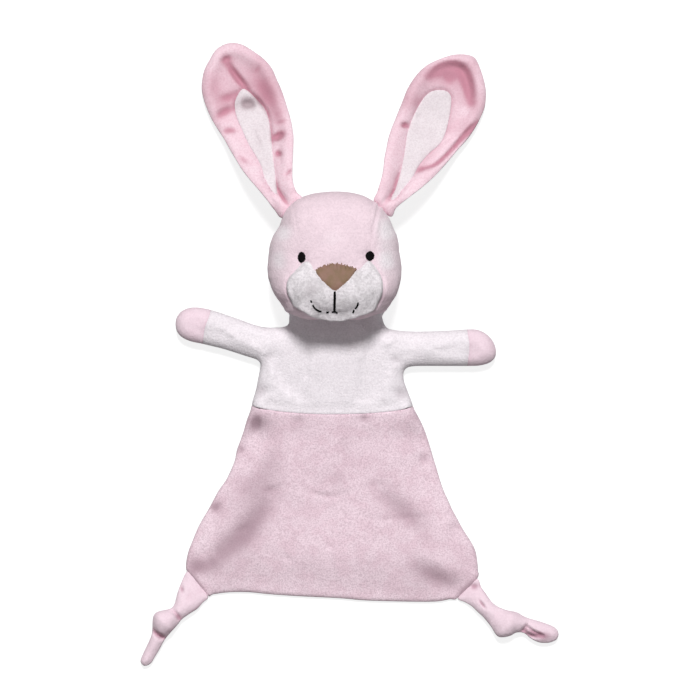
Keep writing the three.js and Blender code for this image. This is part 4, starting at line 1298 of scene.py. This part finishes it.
ear_step = 1.0
white_step = 0.9
ear_grid = 1.15
ear_rings = (0.12, 0.45, 1.0, 1.8)
white_grid = 1.0
white_rings = (0.15, 0.5, 1.1)
ear_places = 101
ear_low_share = -0.05
ear_high_share = 0.98
ear_near_share = 0.03
ear_least_width = 1
ear_most_share = 1.2
cup_start_share = 0.08
cup_rise_share = 0.2
cup_loss_share = 0.55
ear_roll = (1.5, 3.4, 4.5)
ear_seam = (1.0, 1.0)
ear_lumps = [(0.3, 9, 13), (0.1, 3.5, 14)]
white_lumps = [(0.3, 9, 13), (0.12, 4, 15)]
ear_give = 2.5
white_sink = 1.2
white_sink_reach = 1.5
back_dent_share = 0.6
ear_least = 1.2
rich_most_share = 0.36
rich_start_share = 0.4
rich_rise_share = 0.35
# how deep a dent is painted in full shade, and the share of painted shade along the white panel's seam
ear_painted_shade_depth = 3.0
ear_seam_painted_shade = 0.2
white_puff = 0.9
white_roundness = 2.2
white_drop = 0.75
ear_white_painted_shade_depth = 3.4
ear_thickness = 1.2
ear_white_thickness = 0.7


def ear_form(ear, xy):
    """Height of an ear's middle, and how far along it each point lies, as a share."""
    outline = smooth_line(ear["outline"], ear_step, True)
    root, lean = np.array(ear["root"]), np.array(ear["lean"])
    lean = lean / np.linalg.norm(lean)
    side = np.array([lean[1], -lean[0]])
    q = xy - root
    along, across = q @ lean / ear["length"], q @ side
    line = outline - root
    line_along, line_across = line @ lean / ear["length"], line @ side
    places = np.linspace(ear_low_share, ear_high_share, ear_places)
    rows = [line_across[np.abs(line_along - place) < ear_near_share] for place in places]
    low = np.interp(along, places, [row.min() for row in rows])
    high = np.interp(along, places, [row.max() for row in rows])
    half_width = np.maximum((high - low) / 2, ear_least_width)
    share = np.clip((across - (low + high) / 2) / half_width, -ear_most_share, ear_most_share)
    drop = step_up(along / ear_droop_share)
    cup_rise = step_up((along + cup_start_share) / cup_rise_share)
    cup = ear_cup * cup_rise * (1 - cup_loss_share * np.clip(along, 0, 1))
    return ear_root_z + (ear_rest_z - ear_root_z) * drop + cup * np.clip(share * share, 0, 1), along


def ear_cloth(node, skin, triangles, outline, material, thickness):
    """One panel of an ear: the name of its piece."""
    size, area = plan_size(outline)
    piece = panel(node, skin, triangles, material, thickness=thickness)
    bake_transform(piece)
    return piece.name


ear_marks = {
    "left": [
        ([[-60.0, 173.0], [-58.5, 169.5]], 1.8, 2.6),
        ([[-57.5, 167.5], [-55.0, 163.8], [-52.0, 159.8], [-47.6, 155.2]], 3.2, 1.6),
        ([[-46.4, 153.6], [-41.0, 147.7], [-37.0, 142.0], [-35.0, 137.5]], 1.8, 1.0),
        ([[-51.6, 146.4], [-42.6, 147.0]], 4.0, 3.1),
        ([[-62.5, 149.4], [-57.0, 150.6], [-52.0, 153.6]], 1.3, 2.2),
        ([[-64.4, 138.6], [-60.4, 142.0], [-54.6, 144.4]], 1.9, 2.2),
        ([[-61.0, 130.8], [-57.4, 132.0], [-53.0, 131.4]], 1.5, 1.9),
        ([[-52.8, 117.8], [-49.2, 115.4], [-45.4, 113.2]], 1.4, 1.9),
        ([[-43.0, 166.5], [-41.0, 165.0]], 0.8, 2.6),
        ([[-40.0, 162.0], [-37.0, 154.5], [-32.5, 144.5]], 0.8, 5.0),
        ([[-31.5, 135.8], [-25.5, 137.6]], 0.9, 1.0),
        ([[-44.2, 131.2], [-42.2, 128.2], [-39.8, 121.5]], 1.3, 0.8),
        ([[-33.4, 126.6], [-30.6, 128.4], [-27.2, 130.4]], 3.4, 1.9),
        ([[-31.0, 117.4], [-29.6, 120.4]], 3.0, 1.7),
        ([[-26.4, 106.6], [-22.8, 110.4]], 2.4, 1.0),
        ([[-28.2, 119.0], [-29.4, 112.5]], 0.7, 0.9),
        ([[-34.8, 136.0], [-33.8, 125.0]], 1.3, 1.1),
        ([[-31.4, 104.0], [-30.4, 99.5], [-27.9, 95.0], [-24.3, 90.2]], 2.4, 1.0),
        ([[-29.0, 88.0], [-33.5, 92.5], [-36.5, 99.0]], 0.9, 1.4),
    ],
    "right": [
        ([[52.0, 161.5], [58.5, 166.2], [66.0, 167.5], [70.8, 164.8], [73.6, 158.0],
          [75.4, 147.4]], 2.9, 2.6),
        ([[60.0, 162.0], [66.0, 162.0]], 1.0, 4.0),
        ([[79.2, 137.0], [73.5, 131.5], [64.9, 121.8], [58.5, 115.2], [54.0, 112.2], [48.5, 110.8],
          [45.2, 108.8]], 2.5, 1.3),
        ([[37.0, 134.8], [40.6, 134.6]], 3.0, 1.4),
        ([[36.2, 111.0], [33.9, 104.5], [31.9, 98.0], [27.1, 91.2]], 2.1, 1.0),
        ([[45.5, 141.5], [47.0, 138.5]], 1.0, 1.8),
        ([[44.0, 101.0], [41.0, 99.6]], 0.9, 1.0),
        ([[23.2, 100.4], [24.8, 98.2]], 1.4, 0.8),
        ([[60.0, 128.0], [52.0, 118.0], [45.0, 108.0]], 0.8, 2.0),
    ],
}
# painted shade in the folds and along the white panel's seam, painted highlights on the rims and open
# parts: line, amount, width
ear_painted_light = {
    "left": [
        ([[-60.0, 173.0], [-58.0, 168.0]], 0.3, 3.0),
        ([[-57.5, 167.5], [-52.0, 160.0], [-47.0, 154.8]], 0.3, 2.4),
        ([[-31.0, 144.0], [-28.0, 134.0]], 0.2, 4.0),
        ([[-44.5, 163.0], [-39.0, 155.0], [-33.0, 143.0], [-28.5, 129.0]], 0.42, 5.2),
        ([[-66.0, 162.0], [-65.0, 150.0]], 0.2, 4.0),
        ([[-62.5, 142.0], [-56.5, 152.5]], 0.25, 4.4),
        ([[-60.6, 131.2], [-53.6, 131.6]], 0.35, 2.2),
        ([[-52.4, 117.4], [-45.8, 113.6]], 0.35, 2.2),
        ([[-31.4, 103.5], [-30.4, 99.0], [-28.0, 94.0], [-24.1, 88.8]], 0.5, 0.8),
        ([[-38.0, 96.0], [-32.5, 91.5]], -0.3, 2.6),
        ([[-32.5, 127.0], [-28.5, 129.6]], 0.5, 2.4),
        ([[-30.3, 119.0]], 0.4, 2.0),
        ([[-70.5, 160.0], [-66.0, 172.0], [-56.0, 177.5], [-46.0, 174.0]], -0.3, 3.6),
        ([[-24.5, 140.0], [-22.5, 122.0]], -0.25, 2.4),
        ([[-55.5, 128.0], [-46.0, 114.0], [-38.5, 100.0]], -0.3, 4.5),
    ],
    "right": [
        ([[54.0, 162.5], [60.2, 166.0], [66.0, 166.2], [70.3, 163.6], [73.1, 158.0],
          [75.2, 147.4]], 0.6, 3.2),
        ([[60.0, 164.0], [68.0, 161.0]], 0.45, 4.5),
        ([[37.0, 142.0], [42.0, 152.0]], 0.25, 4.0),
        ([[78.0, 134.8], [71.0, 128.8]], 0.5, 2.6),
        ([[78.4, 136.4], [70.5, 128.2], [62.5, 119.6], [55.0, 112.8], [46.0, 109.2]], 0.4, 1.1),
        ([[35.9, 108.5], [34.5, 102.5], [32.2, 96.5], [27.6, 89.4]], 0.5, 0.8),
        ([[50.0, 110.8], [45.4, 109.4]], 0.35, 2.0),
        ([[37.4, 134.8], [40.4, 134.6]], 0.6, 1.8),
        ([[47.5, 151.0], [43.5, 144.5]], 0.3, 2.4),
        ([[61.0, 133.0], [66.0, 131.0]], 0.2, 3.0),
        ([[68.0, 143.5], [74.0, 140.5]], -0.35, 3.4),
        ([[64.5, 126.5], [58.0, 119.5]], -0.3, 2.8),
        ([[79.5, 164.0], [82.0, 152.0]], -0.3, 3.0),
        ([[50.0, 167.0], [62.0, 172.0], [74.0, 172.6]], -0.25, 2.4),
        ([[34.0, 96.0], [46.0, 101.5]], -0.3, 4.0),
    ],
}

for side, ear in ears.items():
    outline = smooth_line(ear["outline"], ear_step, True)
    white_line = smooth_line(ear["white"], white_step, True)
    xy, triangles = cut(outline, ear_grid, ear_rings, [closed(white_line)])
    edge = nearest(xy, closed(outline))[0]
    level, along = ear_form(ear, xy)
    dents = strokes(xy, ear_marks[side])
    seam = nearest(xy, closed(white_line))[0]
    in_white = inside(xy, white_line)
    roll = groove(edge, *ear_roll) * ~in_white
    half = ear_half_thickness * round_edge(edge, ear_roundness)
    seam_dip = groove(seam, *ear_seam)
    texture = uneven(xy, ear_lumps)
    give = step_up(edge / ear_give)
    under = white_sink * in_white * step_up(seam / white_sink_reach)
    top = level + half + (roll - dents - seam_dip - under + texture) * give
    bottom = np.maximum(level - half - back_dent_share * dents * give, floor_gap)
    top = np.maximum(top, bottom + ear_least * round_edge(edge, ear_roundness))
    points, front, back = sewn(xy, triangles, top, bottom)
    # a deeper colour towards the tip, on both layers
    rich = rich_most_share * step_up((along - rich_start_share) / rich_rise_share)
    nap_and_painted_light = rich + strokes(xy, ear_painted_light[side])
    # front: painted shade in the dents and along the seam, the marks' painted shade and highlights, and
    # the deeper tip colour; back: only the deeper tip colour
    painted_light = np.r_[dents / ear_painted_shade_depth + ear_seam_painted_shade * seam_dip + nap_and_painted_light, rich]
    skin = skin_of(points, [front, back], painted_light)
    below = []
    for part, layer in (("back_panel", back), ("front_panel", front)):
        node = f"ear_{side}_{part}"
        below = [ear_cloth(
            node, skin, layer, outline, ear_pink, ear_thickness
        )]

    # The white panel lies in the cup, its edge turned under along the seam
    xy, triangles = cut(white_line, white_grid, white_rings)
    edge = nearest(xy, closed(white_line))[0]
    level = ear_form(ear, xy)[0]
    dents = strokes(xy, ear_marks[side])
    give = step_up(nearest(xy, closed(outline))[0] / ear_give)
    puff = white_puff * round_edge(edge, white_roundness) - white_drop
    top = level + ear_half_thickness + puff + (uneven(xy, white_lumps) - dents) * give
    # painted shade in the white panel's dents
    skin = skin_of(np.c_[xy, top], [triangles], dents / ear_white_painted_shade_depth)
    node = f"ear_{side}_inner_panel"
    ear_cloth(
        node, skin, triangles, white_line, ear_white, ear_white_thickness
    )


# Tails

tails = {
    "left": {
        "outline": [
            [-80.6, -110.0], [-83.4, -115.0], [-86.0, -121.9], [-87.5, -127.6], [-89.4, -130.2],
            [-93.5, -131.2], [-97.1, -132.2], [-99.0, -134.2], [-99.6, -137.5], [-99.7, -141.4],
            [-100.3, -145.2], [-102.7, -150.7], [-104.8, -155.1], [-106.2, -158.6], [-106.0, -160.3],
            [-104.4, -161.9], [-102.3, -161.6], [-100.2, -160.1], [-98.2, -156.8], [-96.0, -153.2],
            [-93.0, -147.7], [-90.2, -144.1], [-87.7, -141.4], [-85.2, -138.5], [-83.6, -136.4],
            [-79.5, -133.4], [-75.1, -130.6], [-72.1, -127.3], [-69.1, -124.0], [-73.2, -117.7],
            [-77.6, -112.2],
        ],
        "seam": [[-80.6, -110.0], [-69.0, -123.8]],
        "middle": [
            [-74.8, -117.2], [-81.4, -128.7], [-86.9, -134.8], [-92.4, -138.6], [-96.8, -145.8],
            [-102.3, -157.3],
        ],
        "half": [2.0, 4.6, 5.2, 7.2, 4.4, 3.6],
        "creases": [
            ([[-89.6, -130.6], [-86.9, -133.0], [-83.4, -137.2]], 2.2, 1.2),
            ([[-100.5, -140.0], [-97.9, -143.6], [-95.2, -145.8], [-91.5, -147.4]], 3.2, 1.4),
            ([[-84.2, -117.6], [-83.0, -121.6]], 1.8, 1.0),
            ([[-79.0, -121.0], [-80.5, -126.5]], 0.8, 1.6),
        ],
        # painted shade over the knots' creases and folds: line, amount, width
        "nap_and_painted_light": [
            ([[-86.6, -133.6], [-83.6, -136.8]], 0.55, 1.6),
            ([[-98.8, -142.2], [-94.6, -145.0], [-91.0, -146.4]], 0.6, 1.7),
            ([[-93.5, -143.4], [-89.5, -142.6], [-86.6, -138.8]], 0.45, 1.8),
            ([[-83.8, -118.2], [-83.2, -121.4]], 0.4, 1.1),
            ([[-70.6, -125.4], [-76.0, -130.6], [-84.0, -136.4]], 0.45, 0.9),
            ([[-74.5, -120.0], [-79.5, -127.0]], 0.2, 3.2),
        ],
    },
    "right": {
        "outline": [
            [78.7, -114.2], [80.9, -118.8], [83.6, -122.5], [85.8, -125.7], [87.8, -127.8],
            [90.8, -129.7], [94.5, -131.1], [97.6, -131.7], [100.4, -132.4], [103.4, -134.1],
            [106.3, -135.5], [111.4, -137.0], [116.1, -138.5], [120.2, -140.2], [122.4, -141.9],
            [123.4, -144.4], [122.8, -146.6], [121.4, -148.0], [118.1, -149.2], [113.5, -149.2],
            [110.3, -148.1], [107.6, -146.5], [105.3, -144.5], [103.3, -143.6], [100.0, -143.6],
            [97.0, -145.2], [93.8, -146.0], [90.8, -146.0], [89.0, -144.8], [87.5, -142.5],
            [86.1, -140.2], [82.3, -135.5], [78.9, -132.3], [75.6, -129.2], [72.1, -127.1],
            [68.0, -124.9], [72.6, -119.4],
        ],
        "seam": [[78.7, -113.9], [67.7, -124.9]],
        "middle": [
            [73.2, -119.6], [82.5, -128.2], [89.7, -135.3], [95.7, -138.1], [104.5, -139.2],
            [113.3, -143.0], [119.9, -144.7],
        ],
        "half": [2.0, 4.4, 5.0, 7.0, 4.6, 4.4, 4.0],
        "creases": [
            ([[101.8, -144.6], [104.2, -142.2], [106.4, -138.6]], 2.6, 1.2),
            ([[103.6, -143.0], [108.8, -145.4], [114.6, -145.2]], 2.4, 1.0),
            ([[105.6, -139.8], [108.8, -142.4], [114.4, -145.2]], 2.2, 0.8),
            ([[79.4, -125.4], [83.4, -130.3]], 1.6, 0.6),
            ([[74.8, -118.6], [79.2, -118.3]], 1.8, 1.8),
            ([[86.5, -138.5], [91.0, -131.5]], 0.8, 1.6),
        ],
        # painted shade over the knots' creases and folds: line, amount, width
        "nap_and_painted_light": [
            ([[103.6, -142.4], [108.8, -144.0], [114.4, -145.0]], 0.8, 1.7),
            ([[112.0, -142.6], [114.6, -145.0]], 0.5, 0.9),
            ([[112.5, -147.0], [119.5, -144.5]], 0.6, 2.8),
            ([[79.6, -125.6], [83.2, -130.1]], 0.6, 0.7),
            ([[75.0, -118.4], [79.4, -118.2]], 0.45, 1.8),
            ([[79.0, -115.8], [82.4, -120.6], [86.2, -125.8]], 0.45, 0.9),
        ],
    },
}
tail_roundness = 6.5
tail_step = 0.7
tail_grid = 0.75
tail_rings = (0.1, 0.35, 0.8)
middle_step = 0.6
half_places = 401
half_low_share = -0.5
half_high_share = 1.5
blur_places = 41
blur_reach = 2
tail_lumps = [(0.35, 8, 20), (0.15, 3, 21)]
tail_give = 1.6
back_crease_share = 0.3
tail_least = 0.2
tail_painted_shade_depth = 6
tail_thickness = 0.9
hinge_out = 1.9
hinge_before = 2.5
hinge_after = 8

for side, tail in tails.items():
    outline = smooth_line(tail["outline"], tail_step, True)
    xy, triangles = cut(outline, tail_grid, tail_rings)
    edge = nearest(xy, closed(outline))[0]
    middle_line = smooth_line(tail["middle"], middle_step)
    stops = nearest(np.array(tail["middle"]), middle_line)[1]
    place = nearest(xy, middle_line)[1]
    order = np.argsort(stops)
    grid = np.linspace(half_low_share, half_high_share, half_places)
    table = np.interp(grid, stops[order], np.array(tail["half"])[order])
    blur = groove(np.linspace(-blur_reach, blur_reach, blur_places), 1, 1)
    half = np.interp(place, grid, np.convolve(table, blur / blur.sum(), "same"))
    creases = strokes(xy, tail["creases"])
    swell = half * round_edge(edge, tail_roundness)
    texture = uneven(xy, tail_lumps)
    give = step_up(edge / tail_give)
    top = half + swell + (texture - creases) * give
    bottom = np.maximum(half - swell + back_crease_share * creases * give, floor_gap)
    top = np.maximum(top, bottom + tail_least)
    points, front, back = sewn(xy, triangles, top, bottom)
    layers = np.vstack([front, back])
    # painted shade in the creases and from the marks, on the front only
    nap_and_painted_light = strokes(xy, tail["nap_and_painted_light"])
    skin = skin_of(points, [layers], np.r_[creases / tail_painted_shade_depth + nap_and_painted_light, creases * 0])
    piece = panel(f"tail_{side}", skin, layers, pink, thickness=tail_thickness)
    a, b = (np.array(end) for end in tail["seam"])
    out = np.array([(b - a)[1], -(b - a)[0]]) / np.linalg.norm(b - a)
    if out @ (middle_line[-1] - a) < 0:
        out = -out
    hinge = (a + b) / 2 + out * hinge_out
    start, end = hinge - out * hinge_before, hinge + out * hinge_after
    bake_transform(piece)


# Satin stitch: threads laid side by side over the cloth

thread_sides = 6
thread_radius = 0.3
thread_waver = 0.1
stitch_waver = 0.05
nose_radius = 0.34
eye_radius = 0.3
mouth_radius = 0.32
smile_radius = 0.3
lies_low = 0.001
nose_from = -9.2
nose_to = 11.9
nose_pitch = 0.36
nose_points = 12
nose_height = 1.0
nose_sink = 0.7
nose_low_spread = 0.12
nose_high_spread = 0.38
nose_lean_share = 0.25
nose_fan_share = 0.12
nose_foot_share = 0.1
nose_head_share = 0.3
eye_threads = 17
eye_points = 8
eye_height = 0.9
eye_sink = 0.5
eye_slant = 0.15
eye_spread = 0.12
eye_end_share = 0.04
strand_gap = 0.35
mouth_step = 0.7
mouth_height = 0.25
mouth_sink = 0.9


def thread_tree():
    """Threads along a mesh of edges: thickness, fuzz and colour as inputs."""
    tree = bpy.data.node_groups.new("satin_stitch", "GeometryNodeTree")
    tree.interface.new_socket("Geometry", in_out="OUTPUT", socket_type="NodeSocketGeometry")
    tree.interface.new_socket("Geometry", in_out="INPUT", socket_type="NodeSocketGeometry")
    sizes = {"Thread radius": thread_radius * MM, "Waver": thread_waver * MM}
    for label, value in sizes.items():
        socket = tree.interface.new_socket(label, in_out="INPUT", socket_type="NodeSocketFloat")
        socket.default_value = value
    tree.interface.new_socket("Seed", in_out="INPUT", socket_type="NodeSocketInt").default_value = seed
    tree.interface.new_socket("Thread", in_out="INPUT", socket_type="NodeSocketMaterial")
    nodes, links = tree.nodes, tree.links
    given, result = nodes.new("NodeGroupInput"), nodes.new("NodeGroupOutput")
    curve = nodes.new("GeometryNodeMeshToCurve")
    waver = nodes.new("GeometryNodeSetPosition")
    chance = nodes.new("FunctionNodeRandomValue")
    chance.data_type = "FLOAT_VECTOR"
    scale = nodes.new("ShaderNodeVectorMath")
    scale.operation = "SCALE"
    profile = nodes.new("GeometryNodeCurvePrimitiveCircle")
    profile.inputs["Resolution"].default_value = thread_sides
    solid = nodes.new("GeometryNodeCurveToMesh")
    solid.inputs["Fill Caps"].default_value = True
    smooth = nodes.new("GeometryNodeSetShadeSmooth")
    real = nodes.new("GeometryNodeRealizeInstances")
    finish = nodes.new("GeometryNodeSetMaterial")
    chance.inputs[0].default_value = (-1, -1, -1)
    chance.inputs[1].default_value = (1, 1, 1)
    for a, b in (
        (given.outputs["Geometry"], curve.inputs[0]),
        (curve.outputs[0], waver.inputs["Geometry"]),
        (given.outputs["Seed"], chance.inputs["Seed"]),
        (chance.outputs[0], scale.inputs[0]),
        (given.outputs["Waver"], scale.inputs["Scale"]),
        (scale.outputs[0], waver.inputs["Offset"]),
        (waver.outputs[0], solid.inputs["Curve"]),
        (given.outputs["Thread radius"], profile.inputs["Radius"]),
        (profile.outputs[0], solid.inputs["Profile Curve"]),
        (solid.outputs[0], smooth.inputs[0]),
        (smooth.outputs[0], real.inputs[0]),
        (real.outputs[0], finish.inputs[0]),
        (given.outputs["Thread"], finish.inputs["Material"]),
        (finish.outputs[0], result.inputs[0]),
    ):
        links.new(a, b)
    return tree


stitch_tree = thread_tree()


def stitched(name, lines, radius, waver, material, node, body):
    """Threads along lines of points, as one plain mesh."""
    vertices, edges = [], []
    for line in lines:
        first = len(vertices)
        vertices += (np.asarray(line) * MM).tolist()
        edges += [(first + k, first + k + 1) for k in range(len(line) - 1)]
    guide = bpy.data.meshes.new(name)
    guide.from_pydata(vertices, edges, [])
    piece = placed(name, guide)
    modifier = piece.modifiers.new("stitches", "NODES")
    modifier.node_group = stitch_tree
    values = {"Thread radius": radius * MM, "Waver": waver * MM, "Seed": seed, "Thread": material}
    for item in stitch_tree.interface.items_tree:
        if item.in_out == "INPUT" and item.name in values:
            modifier[item.identifier] = values[item.name]
    evaluated = piece.evaluated_get(bpy.context.evaluated_depsgraph_get())
    mesh = bpy.data.meshes.new_from_object(evaluated)
    piece.modifiers.clear()
    piece.data = mesh
    return stand_in(piece, node, body)


def over_face(plan, rise):
    """A line of points given in plan, laid that high over the face."""
    lies = on_face(plan)
    return lies + head_normal(lies) * (rise - sum(face_relief(lies)))[:, None]


def laid_thread(a, b, count, height, sink):
    """One thread over the face from a to b in plan, its ends drawn into the cloth."""
    t = np.linspace(0, 1, count)
    rise = height * np.sqrt(np.sin(np.pi * np.clip(t, lies_low, 1 - lies_low)))
    rise -= sink * (1 - np.sin(np.pi * t)) ** 3
    return over_face(np.outer(1 - t, a) + np.outer(t, b), rise)


chance = np.random.default_rng(seed)
ring = closed(nose_line)
lines = []
for x in np.arange(nose_from, nose_to, nose_pitch):
    cross = []
    for (ax, ay), (bx, by) in zip(ring[:-1], ring[1:]):
        if (ax > x) != (bx > x):
            cross.append(ay + (by - ay) * (x - ax) / (bx - ax))
    if len(cross) < 2:
        continue
    low = min(cross) + chance.normal(0, nose_low_spread)
    high = max(cross) + chance.normal(0, nose_high_spread)
    lean = nose_lean_share * chance.normal() + nose_fan_share * x
    foot, head = [x - lean * nose_foot_share, low], [x + lean * nose_head_share, high]
    lines.append(laid_thread(foot, head, nose_points, nose_height, nose_sink))
stitched("nose_threads", lines, nose_radius, stitch_waver, brown_thread, "nose", "head")

for side, (ex, ey, width, height) in zip(("left", "right"), eyes):
    lines = []
    for k in np.linspace(-1, 1, eye_threads):
        half_width = width / 2 * math.sqrt(max(1 - k * k, eye_end_share)) + chance.normal(0, eye_spread)
        y = ey + k * height / 2
        start, end = [ex - half_width, y], [ex + half_width, y + eye_slant]
        lines.append(laid_thread(start, end, eye_points, eye_height, eye_sink))
    node = f"eye_{side}"
    name = f"{node}_threads"
    stitched(name, lines, eye_radius, stitch_waver, black_thread, node, "head")


def mouth_stitch(line, strands):
    """Strands side by side along a line given in plan."""
    path = smooth_line(line, mouth_step)
    way = np.gradient(path, axis=0)
    side = np.stack([-way[:, 1], way[:, 0]], 1) / np.linalg.norm(way, axis=1)[:, None]
    rise = mouth_height - mouth_sink * (1 - np.sin(np.pi * np.linspace(0, 1, len(path)))) ** 4
    shifts = [(k - (strands - 1) / 2) * strand_gap for k in range(strands)]
    return [over_face(path + side * shift, rise) for shift in shifts]


smile_lines = [line for stitch in smile_stitches for line in mouth_stitch(stitch, 2)]
for part, lines, radius in (
    ("centre", mouth_stitch(mouth_line, 3), mouth_radius), ("smile", smile_lines, smile_radius)
):
    node = f"mouth_{part}_stitch"
    name = f"mouth_{part}_threads"
    stitched(name, lines, radius, stitch_waver, black_thread, node, "head")


# Floor, light and camera

view_middle = [8.8, 11.55]
view_width = 385.0
camera_height = 3000.0
camera_reach = 20
sensor = 36.0
floor_reach = 6.0
floor_roughness = 0.9
floor_specular = 0.1
floor_tone = 0.35
floor_glow = 0.8
sky_strength = 0.17
lamp_size = 1.2
key_power = 345.0
key_place = (0.08, 2.73, 5.36)
fill_power = 3.0
fill_place = (0.3, -0.9, 1.9)

floor_mesh = bpy.data.meshes.new("floor")
corners = [(x * floor_reach, y * floor_reach, 0) for x, y in ((-1, -1), (1, -1), (1, 1), (-1, 1))]
floor_mesh.from_pydata(corners, [], [(0, 1, 2, 3)])
placed("floor", floor_mesh)
paper = Finish("white_paper", floor_roughness, specular=floor_specular)
paper.shader.inputs["Base Color"].default_value = (floor_tone, floor_tone, floor_tone, 1)
path_node = paper.nodes.new("ShaderNodeLightPath")
either = paper.nodes.new("ShaderNodeMath")
either.operation = "MAXIMUM"
paper.links.new(path_node.outputs["Is Camera Ray"], either.inputs[0])
paper.links.new(path_node.outputs["Is Glossy Ray"], either.inputs[1])
glow = paper.nodes.new("ShaderNodeEmission")
glow.inputs["Color"].default_value = (1, 1, 1, 1)
glow_level = paper.nodes.new("ShaderNodeMath")
glow_level.operation = "MULTIPLY"
glow_level.inputs[1].default_value = floor_glow
paper.links.new(either.outputs[0], glow_level.inputs[0])
paper.links.new(glow_level.outputs[0], glow.inputs["Strength"])
both = paper.nodes.new("ShaderNodeAddShader")
paper.links.new(paper.shader.outputs[0], both.inputs[0])
paper.links.new(glow.outputs[0], both.inputs[1])
paper.links.new(both.outputs[0], paper.nodes["Material Output"].inputs["Surface"])
floor_mesh.materials.append(paper.material)

world = bpy.data.worlds.new("studio")
bpy.context.scene.world = world
world.use_nodes = True
sky = world.node_tree.nodes["Background"]
sky.inputs["Color"].default_value = (1, 1, 1, 1)
sky_path = world.node_tree.nodes.new("ShaderNodeLightPath")
sky_mix = world.node_tree.nodes.new("ShaderNodeMix")
sky_mix.inputs["A"].default_value = sky_strength
sky_mix.inputs["B"].default_value = 1.0
world.node_tree.links.new(sky_path.outputs["Is Camera Ray"], sky_mix.inputs["Factor"])
world.node_tree.links.new(sky_mix.outputs["Result"], sky.inputs["Strength"])


def lamp(name, at, power):
    """A round soft lamp aimed at the middle of the floor."""
    light = bpy.data.lights.new(name, "AREA")
    light.shape = "DISK"
    light.size = lamp_size
    light.energy = power
    item = placed(name, light)
    item.location = at
    item.rotation_euler = (-Vector(at)).to_track_quat("-Z", "Y").to_euler()


lamp("key_softbox", key_place, key_power)
lamp("fill_softbox", fill_place, fill_power)

camera_data = bpy.data.cameras.new("camera")
camera_data.sensor_width = sensor
camera_data.lens = sensor * camera_height / view_width
camera_data.clip_end = camera_reach
camera = placed("camera", camera_data)
camera.location = (view_middle[0] * MM, view_middle[1] * MM, camera_height * MM)
bpy.context.scene.camera = camera
bpy.context.scene.view_settings.view_transform = "Standard"
